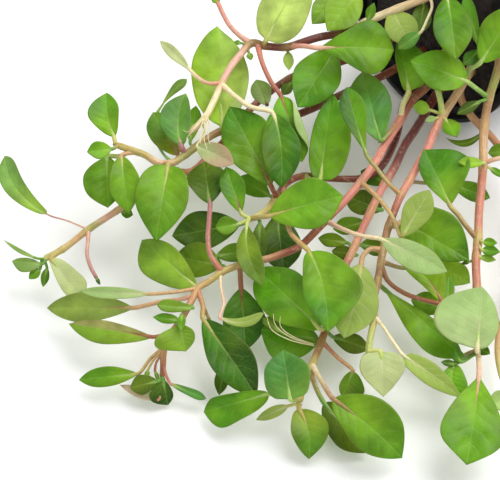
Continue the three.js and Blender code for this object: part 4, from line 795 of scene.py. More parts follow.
def blank_blade(name, columns, rows):
    """A flat blade, from -1 to 1 across and 0 to 1 along, thinner at its margin."""
    bpy.ops.mesh.primitive_grid_add(x_subdivisions=columns, y_subdivisions=rows, size=2)
    blade = bpy.context.active_object
    blade.name = name
    edit()
    bpy.ops.transform.translate(value=(0, 1, 0))
    bpy.ops.transform.resize(value=(1, 0.5, 1), center_override=(0, 0, 0))
    done()
    thick = blade.vertex_groups.new(name="thick")
    for vertex in blade.data.vertices:
        thick.add([vertex.index], 1 - 0.7 * abs(vertex.co.x) ** 3, "REPLACE")
    add_attributes(blade)
    bpy.ops.object.shade_smooth()
    blade.hide_render = True
    return blade


def blank_tube(name, sides, rings):
    """A straight tube of radius 1, from 0 to 1 along Z, with evenly spaced rings."""
    bpy.ops.mesh.primitive_cylinder_add(vertices=sides, radius=1, depth=1, location=(0, 0, 0.5))
    tube = bpy.context.active_object
    tube.name = name
    bpy.ops.object.transform_apply(location=True)
    edit("DESELECT")
    bpy.ops.mesh.select_mode(type="EDGE")
    done()
    for side in tube.data.edges:
        low, high = (tube.data.vertices[index].co for index in side.vertices)
        side.select = abs(high.z - low.z) > 0.5
    bpy.ops.object.mode_set(mode="EDIT")
    bpy.ops.mesh.subdivide(number_cuts=rings - 2)
    done()
    add_attributes(tube)
    bpy.ops.object.shade_smooth()
    tube.hide_render = True
    return tube


def tube_frames(centres):
    """Two directions round each point of a line, turning as little as they can along it."""
    frames = []
    last = len(centres) - 1
    round_it = None
    for index in range(last + 1):
        along = (centres[min(index + 1, last)] - centres[max(index - 1, 0)]).normalized()
        if round_it is None:
            round_it = along.cross(UP if abs(along.z) < 0.9 else SIGHT)
        round_it = (round_it - along * round_it.dot(along)).normalized()
        frames.append((round_it, along.cross(round_it)))
    return frames


def shape_tube(tube, centres, radii, colours):
    """Lays a tube, whose rings are as many as centres, along them."""
    frames = tube_frames(centres)
    last = len(centres) - 1
    places, tones, spans = [], [], []
    for vertex in tube.data.vertices:
        index = round(vertex.co.z * last)
        one, other = frames[index]
        place = centres[index] + (one * vertex.co.x + other * vertex.co.y) * radii[index]
        place.z = max(place.z, STEM_FLOOR)
        places.append(place)
        tones.append(colours[index])
        spans.append((math.atan2(vertex.co.y, vertex.co.x), index / last, radii[index]))
    write_places(tube, places)
    paint(tube, "tone", tones)
    measure(tube, spans)


# Leaves

LARGE_BLADE = blank_blade("blank_large_blade", 28, 38)
SMALL_BLADE = blank_blade("blank_small_blade", 12, 20)
STALK_RINGS = 30
STALK_TUBE = blank_tube("blank_stalk", 8, STALK_RINGS)
STALK_SHARE = 0.6
RIB_REACH = 0.62
VEINS = 6.5
VEIN_SLANT = 1.5

# What a leaf has where its row says nothing else
CUP = 0.1
MOST_TWIST = 9
PLAIN_STALK = ("green", "green")

# A blade's relief. FOLD is the rise of its halves beside the midrib, as a share
# of the half width. In millimetres, on a blade of FULL_WIDTH or more, GROOVE is
# the dip over the midrib, QUILT the swelling between side veins, RIPPLE the rise
# and fall of the margins, RIPPLES times along them, and SWELL the unevenness.
FOLD = 0.2
GROOVE, GROOVE_WIDTH = 0.14, 0.45
QUILT = 0.11
RIPPLE, RIPPLES = 0.34, 1.2
SWELL, SWELL_SCALE = 0.6, 0.2
FULL_WIDTH = 12

# A margin's swing in and out, as a share of the half width, and how often it
# swings along the blade, then the most that a curled margin rolls, in radians
SCALLOP, SCALLOPS = 0.025, 1.7
MOST_ROLL = 2.8

# The least height above the surface of a leaf's middle and of a tube's skin
LEAF_FLOOR = 0.3
STEM_FLOOR = 0.05


def leaf_frame(along, facing):
    """Directions out of a leaf's face and across it."""
    over = (facing - along * facing.dot(along)).normalized()
    return over, along.cross(over)


def half_width(outline, share):
    rise, fall = OUTLINES[outline]
    peak = rise / (rise + fall)
    widest = peak ** (rise / fall) * (1 - peak)
    share = min(max(share, 0.0), 1.0)
    return share ** rise * (1 - share ** fall) / widest


def blade_rows(leaf, facing, draw):
    """What a blade's rows have in common, as a function of the share from base to tip."""
    base, tip = at(leaf["base"]), at(leaf["tip"])
    along = (tip - base).normalized()
    over, aside = leaf_frame(along, facing)
    width = leaf["width"]
    outline = leaf.get("outline", "bud" if width < BUD_WIDTH else "elliptic")
    twist = draw.uniform(-MOST_TWIST, MOST_TWIST)

    def row(share):
        arch = 4 * share * (1 - share)
        centre = base.lerp(tip, share) + over * (leaf.get("bow", 0) * arch)
        centre = centre - aside * (leaf.get("sway", 0) * arch)
        turn = Quaternion(along, math.radians(twist) * (share - 0.3))
        half = max(width / 2 * half_width(outline, share), 0.02)
        return centre, turn @ over, turn @ aside, [half * side for side in leaf.get("sides", (1, 1))]

    return row, (tip - base).length


def rolled(reach, start):
    """A distance out from the midrib and a rise, with what lies past start rolled over."""
    if reach <= start:
        return reach, 0.0
    turn = min((reach - start) / CURL_RADIUS, MOST_ROLL)
    rest = reach - start - turn * CURL_RADIUS
    return (start + CURL_RADIUS * math.sin(turn) + rest * math.cos(turn),
            CURL_RADIUS * (1 - math.cos(turn)) + rest * math.sin(turn))


def blade_lift(leaf, across, share, half, phases, swell):
    """The rise of a point of a blade over the line of its midrib."""
    out = abs(across)
    size = min(1, leaf["width"] / FULL_WIDTH)
    fold = FOLD * half * (math.sqrt(out * out + 0.02) - 0.141 - 0.6 * out * out)
    lift = leaf.get("cup", CUP) * half * out ** 1.5 + fold
    lift -= GROOVE * size * math.exp(-((across * half / GROOVE_WIDTH) ** 2)) * (1 - share)
    quilt = math.sin(math.pi * (share * VEINS - out * VEIN_SLANT)) ** 2
    lift += QUILT * size * swell * quilt * out * (1 - out) * 4 * min(1, half / 2)
    ripple = math.sin(2 * math.pi * RIPPLES * share + phases[0 if across < 0 else 1])
    return lift + RIPPLE * size * ripple * out * out * min(1, half / 2)


def shape_blade(blade, leaf, row, length, draw):
    """Bends a flat blade into a leaf's own form and paints it."""
    phases = [draw.uniform(0, 2 * math.pi) for _ in range(4)]
    swell = draw.uniform(0.8, 1.25)
    level = draw.uniform(0.92, 1.08)
    seed = Vector((draw.uniform(0, 50), 0, 0))
    size = min(1, leaf["width"] / FULL_WIDTH)
    curl_side, curl_start = leaf.get("curl", (0, 1))
    other_side, half_tone_and_fold_shade = leaf.get("other", (0, leaf["tone"]))
    rib = SKINS[leaf.get("rib", "pale")]
    rows = {}
    places, spans, tone, under = [], [], [], []
    for vertex in blade.data.vertices:
        across, share = vertex.co.x, vertex.co.y
        key = round(share, 4)
        if key not in rows:
            rows[key] = row(share)
        centre, over, aside, halves = rows[key]
        half = halves[0 if across < 0 else 1]
        side = -1 if across < 0 else 1
        lift = blade_lift(leaf, across, share, half, phases, swell)
        spot = Vector((across * half, share * length, 0))
        lift += SWELL * size * noise.noise(seed + spot * SWELL_SCALE)
        edge = 1 + SCALLOP * math.sin(2 * math.pi * SCALLOPS * share + phases[2 if across < 0 else 3])
        reach = abs(across) * half * edge
        if side == curl_side:
            flat = 1 - (1 - curl_start) * math.sin(math.pi * share) ** 0.6
            reach, rise = rolled(reach, flat * half)
            lift += rise
        place = centre + aside * (side * reach) + over * lift
        place.z = max(place.z, LEAF_FLOOR)
        places.append(place)
        spans.append((across * half, share * length, half))
        # A second tone on one half: on most leaves painted light and shade of the fold, a half lighter or
        # darker than the rest; with dun, a tan half of the leaf's own colour.
        turned = smooth(-0.12, 0.12, across * other_side) if other_side else 0
        along_share = smooth(0.0, 0.75, share)
        colour = mix(mix(*TONES[leaf["tone"]], along_share), mix(*TONES[half_tone_and_fold_shade], along_share), turned)
        tone.append([level * part for part in colour])
        colour = mix(*TONES[leaf.get("under", "pale")], smooth(0.1, 0.95, share + 0.25 * abs(across)))
        under.append([level * part for part in colour])
    write_places(blade, places)
    measure(blade, spans)
    paint(blade, "tone", tone)
    paint(blade, "under", under)
    paint(blade, "rib", [rib] * len(places))


def stalk_line(leaf, line, row):
    """The middle of a leaf stalk, from inside its stem to the base of the blade and on under the midrib."""
    share = nearest_share(line, leaf["foot"])
    base, tip = at(leaf["base"]), at(leaf["tip"])
    passed = [at(place) for place in leaf.get("via", [])] + [base]
    knots = [line_place(line, share)] + passed + [base.lerp(tip, 0.2)]
    rings = STALK_RINGS - 1
    centres = []
    for step in range(STALK_RINGS):
        done_share = step / rings
        if done_share < STALK_SHARE:
            centres.append(route_place(knots, done_share / STALK_SHARE * len(passed)))
        else:
            reach = (done_share - STALK_SHARE) / (1 - STALK_SHARE) * RIB_REACH
            centre, over, _, _ = row(reach)
            centres.append(centre - over * (0.1 + 0.25 * smooth(0, 0.3, reach)))
    return centres


def stalk_radii(width):
    """A stalk's radius along its line: a wide foot, an even middle and a midrib that fades out."""
    radii = []
    for step in range(STALK_RINGS):
        share = step / (STALK_RINGS - 1)
        if share < STALK_SHARE:
            foot = 0.3 * (1 - smooth(0, 0.2, share))
            radii.append(width / 2 * (0.92 + foot))
        else:
            fade = (share - STALK_SHARE) / (1 - STALK_SHARE)
            radii.append(width / 2 * 0.92 * (1 - fade) ** 1.4 + 0.06)
    return radii


def make_leaf(name, leaf, line, draw):
    """A leaf: its blade, thick in the middle and thin at the margin, and its stalk."""
    base, tip = at(leaf["base"]), at(leaf["tip"])
    along = (tip - base).normalized()
    facing = leaf_frame(along, (-SIGHT).lerp(UP, LEAN))[0]
    row, length = blade_rows(leaf, facing, draw)
    blank = SMALL_BLADE if leaf["width"] < SMALL_LEAF else LARGE_BLADE
    blade = copy_of(blank, name)
    shape_blade(blade, leaf, row, length, draw)
    faces = [LEAF_UPPER, LEAF_UNDER]
    if leaf.get("flipped"):
        faces.reverse()
    for material in faces:
        blade.data.materials.append(material)
    apply_modifier(blade, "SOLIDIFY", thickness=LEAF_THICKNESS * MM, offset=0, vertex_group="thick",
                   material_offset=1, material_offset_rim=0)
    stalk = copy_of(STALK_TUBE, name + "_stalk")
    width = leaf.get("stalk_width", STALK_WIDTH * min(1, 0.45 + leaf["width"] / 16))
    foot, top = (SKINS[skin] for skin in leaf.get("stalk", PLAIN_STALK))
    blade_tone = mix(TONES[leaf["tone"]][0], SKINS[leaf.get("rib", "pale")], 0.6)
    colours = []
    for step in range(STALK_RINGS):
        share = step / (STALK_RINGS - 1)
        skin = mix(foot, top, min(1, share / STALK_SHARE))
        colours.append(mix(skin, blade_tone, smooth(STALK_SHARE - 0.05, STALK_SHARE + 0.2, share)))
    shape_tube(stalk, stalk_line(leaf, line, row), stalk_radii(width), colours)
    stalk.data.materials.append(STEM_SKIN)
    return join([blade, stalk], name)


# Materials

def new_material(name):
    material = bpy.data.materials.new(name)
    material.use_nodes = True
    material.node_tree.nodes.clear()
    return material, material.node_tree


def node(tree, kind, inputs=None, **settings):
    """A node with its settings, and its inputs as values or as other nodes' outputs."""
    made = tree.nodes.new("ShaderNode" + kind)
    for setting, value in settings.items():
        setattr(made, setting, value)
    for key, value in (inputs or {}).items():
        if isinstance(value, bpy.types.NodeSocket):
            tree.links.new(value, made.inputs[key])
        else:
            made.inputs[key].default_value = value
    return made


def maths(tree, operation, *values):
    made = tree.nodes.new("ShaderNodeMath")
    made.operation = operation
    for index, value in enumerate(values):
        if isinstance(value, bpy.types.NodeSocket):
            tree.links.new(value, made.inputs[index])
        else:
            made.inputs[index].default_value = value
    return made.outputs[0]


def ramp(tree, value, low, high, start=0.0, end=1.0):
    """A smooth step of a value between two limits."""
    made = node(tree, "MapRange", {0: value, 1: low, 2: high, 3: start, 4: end},
                interpolation_type="SMOOTHSTEP")
    return made.outputs[0]


def blend_colour(tree, share, first, second, kind="MIX"):
    made = node(tree, "Mix", {0: share}, data_type="RGBA", blend_type=kind)
    for socket, value in ((made.inputs[6], first), (made.inputs[7], second)):
        if isinstance(value, bpy.types.NodeSocket):
            tree.links.new(value, socket)
        else:
            socket.default_value = (*value, 1)
    return made.outputs[2]


def attribute(tree, name, output="Color"):
    return node(tree, "Attribute", attribute_name=name).outputs[output]


def leaf_pattern(tree):
    """The parts of a leaf's drawing that both faces share: midrib, side veins, net and margin."""
    span = node(tree, "SeparateXYZ", {0: attribute(tree, "span", "Vector")})
    uv = node(tree, "SeparateXYZ", {0: node(tree, "UVMap").outputs[0]})
    where = node(tree, "TexCoord").outputs["Object"]
    share = uv.outputs[1]
    out = maths(tree, "ABSOLUTE", maths(tree, "MULTIPLY_ADD", uv.outputs[0], 2.0, -1.0))
    from_rib = maths(tree, "ABSOLUTE", span.outputs[0])
    rib_width = ramp(tree, share, 0.0, 0.55, 0.62, 0.2)
    midrib = ramp(tree, maths(tree, "DIVIDE", from_rib, rib_width), 0.3, 1.0, 1.0, 0.0)
    rib_strength = ramp(tree, share, 0.08, 0.6, 1.0, 0.3)
    wander = node(tree, "TexNoise", {"Vector": where, "Scale": 420.0, "Detail": 2.0}).outputs[0]
    phase = maths(tree, "MULTIPLY_ADD", share, VEINS, maths(tree, "MULTIPLY", out, -VEIN_SLANT))
    phase = maths(tree, "ADD", phase, maths(tree, "MULTIPLY_ADD", wander, 0.5, -0.25))
    saw = maths(tree, "ABSOLUTE", maths(tree, "SUBTRACT", maths(tree, "FRACT", phase), 0.5))
    line = ramp(tree, saw, 0.36, 0.5)
    line = maths(tree, "MULTIPLY", line, ramp(tree, out, 0.45, 0.9, 1.0, 0.0))
    line = maths(tree, "MULTIPLY", line, ramp(tree, share, 0.0, 0.15))
    flat = node(tree, "CombineXYZ", {0: span.outputs[0], 1: span.outputs[1]}).outputs[0]
    net = node(tree, "TexVoronoi", {"Vector": flat, "Scale": 1.3, "Randomness": 0.9},
               feature="DISTANCE_TO_EDGE").outputs[0]
    net = ramp(tree, net, 0.0, 0.14, 1.0, 0.0)
    margin = ramp(tree, out, 0.92, 1.0)
    clouds = node(tree, "TexNoise", {"Vector": where, "Scale": 55.0, "Detail": 2.0}).outputs[0]
    patches = node(tree, "TexNoise", {"Vector": where, "Scale": 190.0, "Detail": 4.0}).outputs[0]
    grain = node(tree, "TexNoise", {"Vector": where, "Scale": 2600.0, "Detail": 2.0}).outputs[0]
    return dict(midrib=midrib, rib_strength=rib_strength, line=line, net=net, margin=margin,
                clouds=clouds, patches=patches, grain=grain, share=share, out=out)


def shaded(tree, colour, value, low, high, dark, light):
    """A colour made darker or lighter as a value goes from low to high."""
    level = ramp(tree, value, low, high, dark, light)
    grey = node(tree, "CombineColor", {0: level, 1: level, 2: level}).outputs[0]
    return blend_colour(tree, 1.0, colour, grey, "MULTIPLY")


def finish_leaf(tree, colour, through, height, roughness, share_through):
    """A leaf's shaders: a waxy skin, with light that comes through from behind."""
    bump = node(tree, "Bump", {"Height": height, "Strength": 0.4, "Distance": 0.00014})
    skin = node(tree, "BsdfPrincipled", {"Base Color": colour, "Roughness": roughness,
                                         "Normal": bump.outputs[0], "Specular IOR Level": 0.24})
    glow = node(tree, "BsdfTranslucent", {"Color": through, "Normal": bump.outputs[0]})
    both = node(tree, "MixShader", {0: share_through, 1: skin.outputs[0], 2: glow.outputs[0]})
    node(tree, "OutputMaterial", {"Surface": both.outputs[0]})


def upper_material():
    material, tree = new_material("leaf_upper")
    look = leaf_pattern(tree)
    tone, rib = attribute(tree, "tone"), attribute(tree, "rib")
    colour = blend_colour(tree, ramp(tree, look["clouds"], 0.35, 0.7, 0.0, 0.32), tone, shade(176, 204, 44))
    colour = shaded(tree, colour, look["patches"], 0.3, 0.7, 0.7, 1.08)
    colour = shaded(tree, colour, look["out"], 0.1, 1.0, 1.12, 0.88)
    colour = blend_colour(tree, maths(tree, "MULTIPLY", look["net"], 0.06), colour, SKINS["pale"])
    colour = blend_colour(tree, maths(tree, "MULTIPLY", look["line"], 0.1), colour, SKINS["pale"])
    rib = blend_colour(tree, ramp(tree, look["share"], 0.15, 0.5), rib, SKINS["pale"])
    midrib = maths(tree, "MULTIPLY", look["midrib"], look["rib_strength"])
    colour = blend_colour(tree, maths(tree, "MULTIPLY", midrib, 0.8), colour, rib)
    colour = blend_colour(tree, maths(tree, "MULTIPLY", look["margin"], 0.25), colour, SKINS["moss"])
    through = blend_colour(tree, 0.35, colour, shade(190, 220, 40))
    height = maths(tree, "MULTIPLY_ADD", look["midrib"], -0.8, maths(tree, "MULTIPLY", look["line"], -0.5))
    height = maths(tree, "MULTIPLY_ADD", look["net"], -0.2, height)
    height = maths(tree, "MULTIPLY_ADD", look["grain"], 0.2, height)
    roughness = ramp(tree, look["patches"], 0.3, 0.7, 0.26, 0.42)
    finish_leaf(tree, colour, through, height, roughness, 0.28)
    return material


def under_material():
    material, tree = new_material("leaf_under")
    look = leaf_pattern(tree)
    tone = attribute(tree, "under")
    colour = shaded(tree, tone, look["patches"], 0.3, 0.7, 0.86, 1.04)
    colour = blend_colour(tree, maths(tree, "MULTIPLY", look["net"], 0.1), colour, shade(140, 176, 96))
    colour = blend_colour(tree, maths(tree, "MULTIPLY", look["line"], 0.2), colour, shade(212, 222, 172))
    midrib = maths(tree, "MULTIPLY", look["midrib"], look["rib_strength"])
    colour = blend_colour(tree, maths(tree, "MULTIPLY", midrib, 0.7), colour, shade(226, 220, 170))
    colour = blend_colour(tree, maths(tree, "MULTIPLY", look["margin"], 0.45), colour, shade(180, 156, 116))
    through = blend_colour(tree, 0.3, colour, shade(180, 214, 90))
    height = maths(tree, "MULTIPLY_ADD", look["midrib"], 0.9, maths(tree, "MULTIPLY", look["line"], 0.6))
    height = maths(tree, "MULTIPLY_ADD", look["net"], 0.25, height)
    height = maths(tree, "MULTIPLY_ADD", look["grain"], 0.2, height)
    roughness = ramp(tree, look["patches"], 0.3, 0.7, 0.5, 0.62)
    finish_leaf(tree, colour, through, height, roughness, 0.25)
    return material


def stem_material():
    material, tree = new_material("stem_skin")
    where = node(tree, "TexCoord").outputs["Object"]
    tone = attribute(tree, "tone")
    span = node(tree, "SeparateXYZ", {0: attribute(tree, "span", "Vector")})
    around = node(tree, "CombineXYZ", {0: maths(tree, "SINE", span.outputs[0]),
                                       1: maths(tree, "COSINE", span.outputs[0]),
                                       2: maths(tree, "MULTIPLY", span.outputs[1], 6.0)}).outputs[0]
    streak = node(tree, "TexNoise", {"Vector": around, "Scale": 5.0, "Detail": 3.0}).outputs[0]
    mottle = node(tree, "TexNoise", {"Vector": where, "Scale": 900.0, "Detail": 3.0}).outputs[0]
    colour = shaded(tree, tone, streak, 0.3, 0.7, 0.74, 1.16)
    colour = blend_colour(tree, ramp(tree, mottle, 0.55, 0.75, 0.0, 0.25), colour, SKINS["cream"])
    colour = blend_colour(tree, ramp(tree, mottle, 0.42, 0.28, 0.0, 0.3), colour, SKINS["rust"])
    height = maths(tree, "ADD", maths(tree, "MULTIPLY", streak, 0.8), maths(tree, "MULTIPLY", mottle, 0.3))
    bump = node(tree, "Bump", {"Height": height, "Strength": 0.5, "Distance": 0.00015})
    skin = node(tree, "BsdfPrincipled", {"Base Color": colour, "Normal": bump.outputs[0],
                                         "Roughness": ramp(tree, streak, 0.3, 0.7, 0.34, 0.5),
                                         "Subsurface Weight": 0.12, "Subsurface Scale": 0.0006,
                                         "Specular IOR Level": 0.5})
    node(tree, "OutputMaterial", {"Surface": skin.outputs[0]})
    return material


def pot_material():
    material, tree = new_material("black_plastic")
    where = node(tree, "TexCoord").outputs["Object"]
    cloud = node(tree, "TexNoise", {"Vector": where, "Scale": 90.0, "Detail": 4.0}).outputs[0]
    grain = node(tree, "TexNoise", {"Vector": where, "Scale": 2200.0, "Detail": 3.0}).outputs[0]
    colour = blend_colour(tree, ramp(tree, cloud, 0.35, 0.75), shade(14, 15, 17), shade(30, 30, 32))
    colour = blend_colour(tree, ramp(tree, grain, 0.62, 0.8, 0.0, 0.3), colour, shade(92, 86, 76))
    bump = node(tree, "Bump", {"Height": grain, "Strength": 0.3, "Distance": 0.00012})
    skin = node(tree, "BsdfPrincipled", {"Base Color": colour, "Normal": bump.outputs[0],
                                         "Roughness": ramp(tree, cloud, 0.3, 0.7, 0.36, 0.56),
                                         "Specular IOR Level": 0.35})
    node(tree, "OutputMaterial", {"Surface": skin.outputs[0]})
    return material


def medium_material():
    material, tree = new_material("fibrous_medium_and_painted_shade")
    where = node(tree, "TexCoord").outputs["Object"]
    clumps = node(tree, "TexNoise", {"Vector": where, "Scale": 260.0, "Detail": 5.0}).outputs[0]
    crumbs = node(tree, "TexVoronoi", {"Vector": where, "Scale": 900.0}).outputs[0]
    # The medium's own dark brown, taken down close to black: partly its real colour, partly painted shade
    # of the pot's recess laid into it.
    colour = blend_colour(tree, ramp(tree, clumps, 0.35, 0.65), shade(16, 14, 18), shade(48, 38, 36))
    colour = blend_colour(tree, ramp(tree, crumbs, 0.1, 0.5, 0.3, 0.0), colour, shade(84, 70, 60))
    height = maths(tree, "ADD", clumps, maths(tree, "MULTIPLY", crumbs, 0.5))
    bump = node(tree, "Bump", {"Height": height, "Strength": 0.8, "Distance": 0.0004})
    skin = node(tree, "BsdfPrincipled", {"Base Color": colour, "Normal": bump.outputs[0],
                                         "Roughness": ramp(tree, clumps, 0.3, 0.7, 0.8, 0.95)})
    node(tree, "OutputMaterial", {"Surface": skin.outputs[0]})
    return material


def floor_material():
    material, tree = new_material("pale_floor")
    where = node(tree, "TexCoord").outputs["Object"]
    cloud = node(tree, "TexNoise", {"Vector": where, "Scale": 8.0, "Detail": 2.0}).outputs[0]
    colour = blend_colour(tree, ramp(tree, cloud, 0.3, 0.7), shade(246, 246, 246), shade(250, 250, 249))
    skin = node(tree, "BsdfPrincipled", {"Base Color": colour, "Roughness": 0.9,
                                         "Specular IOR Level": 0.1})
    node(tree, "OutputMaterial", {"Surface": skin.outputs[0]})
    return material


LEAF_UPPER, LEAF_UNDER, STEM_SKIN = upper_material(), under_material(), stem_material()


# Stems

STEM_SIDES = 14
STEM_TUBE = blank_tube("blank_stem", STEM_SIDES, LINE_STEPS + 1)
NODE_REACH = 1.3
NODE_SWELL = 0.13
UNEVENNESS = 0.06
ROUNDED_END = 1.2
ROOT_DEPTH = 3


def skin_colour(stops, share):
    for (start, first), (end, second) in zip(stops, stops[1:]):
        if share <= end:
            return mix(SKINS[first], SKINS[second], (share - start) / (end - start))
    return SKINS[stops[-1][1]]


def make_strand(name, places):
    strand = copy_of(STALK_TUBE, name)
    knots = [at(place) for place in places]
    rings = STALK_RINGS - 1
    centres = [route_place(knots, step * (len(knots) - 1) / rings) for step in range(STALK_RINGS)]
    radii = [STRAND_WIDTH / 2 * (1 - 0.6 * step / rings) for step in range(STALK_RINGS)]
    shape_tube(strand, centres, radii, [SKINS["cream"]] * STALK_RINGS)
    strand.data.materials.append(STEM_SKIN)
    return strand


def make_stem(name, draw):
    """A stem with its swollen nodes, and the small leaves that grow in one with it."""
    stem, line = STEMS[name], stem_lines[name]
    length = line_length(line)
    leaves = LEAVES.get(name, []) + LEAFLETS.get(name, [])
    nodes = [nearest_share(line, leaf["foot"]) for leaf in leaves]
    seed = Vector((0, draw.uniform(0, 60), 0))
    centres, radii, colours = [], [], []
    for step, centre in enumerate(line):
        share = step / LINE_STEPS
        near = max([math.exp(-(((share - spot) * length / NODE_REACH) ** 2)) for spot in nodes] + [0])
        wander = noise.noise(seed + Vector((share * length * 0.12, 0, 0)))
        bulge = 1 + NODE_SWELL * near + UNEVENNESS * wander
        tip = 1 if stem.get("cut") else math.sqrt(min(1, (1 - share) * length / ROUNDED_END + 0.02))
        centres.append(centre)
        radii.append(stem_radius(stem, share) * bulge * tip)
        skin = skin_colour(stem["skin"], share)
        colours.append(mix(skin, SKINS["straw"], 0.4 * near * smooth(0.1, 0.5, share)))
    centres[0] = centres[0] - POT_AXIS * ROOT_DEPTH
    tube = copy_of(STEM_TUBE, "stem_" + name + "_skin")
    shape_tube(tube, centres, radii, colours)
    tube.data.materials.append(STEM_SKIN)
    parts = [tube]
    for index, leaflet in enumerate(LEAFLETS.get(name, [])):
        parts.append(make_leaf(f"{name}_leaflet_{index + 1}", leaflet, line, draw))
    for index, strand in enumerate(STRANDS.get(name, [])):
        parts.append(make_strand(f"{name}_strand_{index + 1}", strand))
    return join(parts, "living_stem_" + name)


def hand_in(piece, cad_node):
    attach(piece, "root")
    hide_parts(cad_node)


DRAW_SEED = 7
deselect()
draws = random.Random(DRAW_SEED)
for stem_name in STEMS:
    hand_in(make_stem(stem_name, draws), "stem_" + stem_name)
    for number, leaf in enumerate(LEAVES.get(stem_name, []), 1):
        cad_leaf = f"leaf_{stem_name}_{number}"
        piece = make_leaf("living_" + cad_leaf, leaf, stem_lines[stem_name], draws)
        hand_in(piece, cad_leaf)


# The pot

def lie_down(piece):
    """Lays a piece made about +Z, with its foot at 0, as the pot lies."""
    level = Vector((HALF_TURN, -HALF_TURN, 0))
    turn = Matrix((level, POT_AXIS.cross(level), POT_AXIS)).transposed().to_4x4()
    turn.translation = POT_FOOT + SHIFT
    piece.data.transform(Matrix.Scale(MM, 4) @ turn)


def wall_radius(height):
    share = height / POT_HEIGHT
    return (POT_BASE + (POT_MOUTH - 2 * LIP_STEP - POT_BASE) * share) / 2


POT_SIDES = 200
SLOT_SIDES = 4
BASE_ROUNDING = 0.8
EDGE_ROUNDING = 0.22
STEP_OVER_SLOTS = (5, 6)


def slot_angles(angle):
    """True at the angles of a slot."""
    turn = 2 * math.pi / SLOT_COUNT
    off = (angle / turn - 0.5) % 1
    return min(off, 1 - off) < SLOT_SIDES / 2 / (POT_SIDES / SLOT_COUNT)


def make_pot():
    """The net pot: a disc, drawn up in steps to its wall and lip, with slots cut out."""
    bpy.ops.mesh.primitive_circle_add(vertices=POT_SIDES, radius=BASE_SLOT[0], fill_type="NGON")
    pot = bpy.context.active_object
    pot.name = "net_pot"
    edit()
    bpy.ops.mesh.select_mode(type="EDGE")
    bpy.ops.mesh.select_all(action="SELECT")
    bpy.ops.mesh.region_to_loop()
    radius, height = BASE_SLOT[0], 0
    slot_end = SLOT_START + SLOT_LENGTH
    lip_foot = POT_HEIGHT - LIP_HEIGHT
    steps = [(BASE_SLOT[1], 0), (POT_BASE / 2 - BASE_ROUNDING, 0), (POT_BASE / 2, BASE_ROUNDING)]
    levels = [SLOT_START, slot_end] + [slot_end + over for over in STEP_OVER_SLOTS] + [lip_foot]
    steps += [(wall_radius(level), level) for level in levels]
    steps += [(POT_MOUTH / 2, lip_foot), (POT_MOUTH / 2, POT_HEIGHT)]
    for next_radius, next_height in steps:
        bpy.ops.mesh.extrude_edges_move(TRANSFORM_OT_translate={"value": (0, 0, next_height - height)})
        grow = next_radius / radius
        bpy.ops.transform.resize(value=(grow, grow, 1), center_override=(0, 0, next_height))
        radius, height = next_radius, next_height
    bpy.ops.mesh.select_all(action="DESELECT")
    bpy.ops.mesh.select_mode(type="FACE")
    done()
    for face in pot.data.polygons:
        centre = face.center
        level, reach = centre.z, math.hypot(centre.x, centre.y)
        in_wall = SLOT_START < level < slot_end and len(face.vertices) == 4
        in_base = level < 0.01 and BASE_SLOT[0] < reach < BASE_SLOT[1] and len(face.vertices) == 4
        face.select = (in_wall or in_base) and slot_angles(math.atan2(centre.y, centre.x))
    bpy.ops.object.mode_set(mode="EDIT")
    bpy.ops.mesh.delete(type="FACE")
    bpy.ops.mesh.select_all(action="SELECT")
    bpy.ops.mesh.normals_make_consistent(inside=False)
    done()
    apply_modifier(pot, "SOLIDIFY", thickness=POT_WALL, offset=-1, use_even_offset=True)
    apply_modifier(pot, "BEVEL", width=EDGE_ROUNDING, segments=2, limit_method="ANGLE",
                   angle_limit=math.radians(40))
    make_active(pot)
    bpy.ops.object.shade_smooth_by_angle(angle=math.radians(35))
    lie_down(pot)
    pot.data.materials.append(pot_material())
    return pot


FIBRES = 420
FIBRE_POINTS = 5
FIBRE_REACH = 0.86
PLUG_SIDES = 96
PLUG_RINGS = 9
LUMPS = 0.9


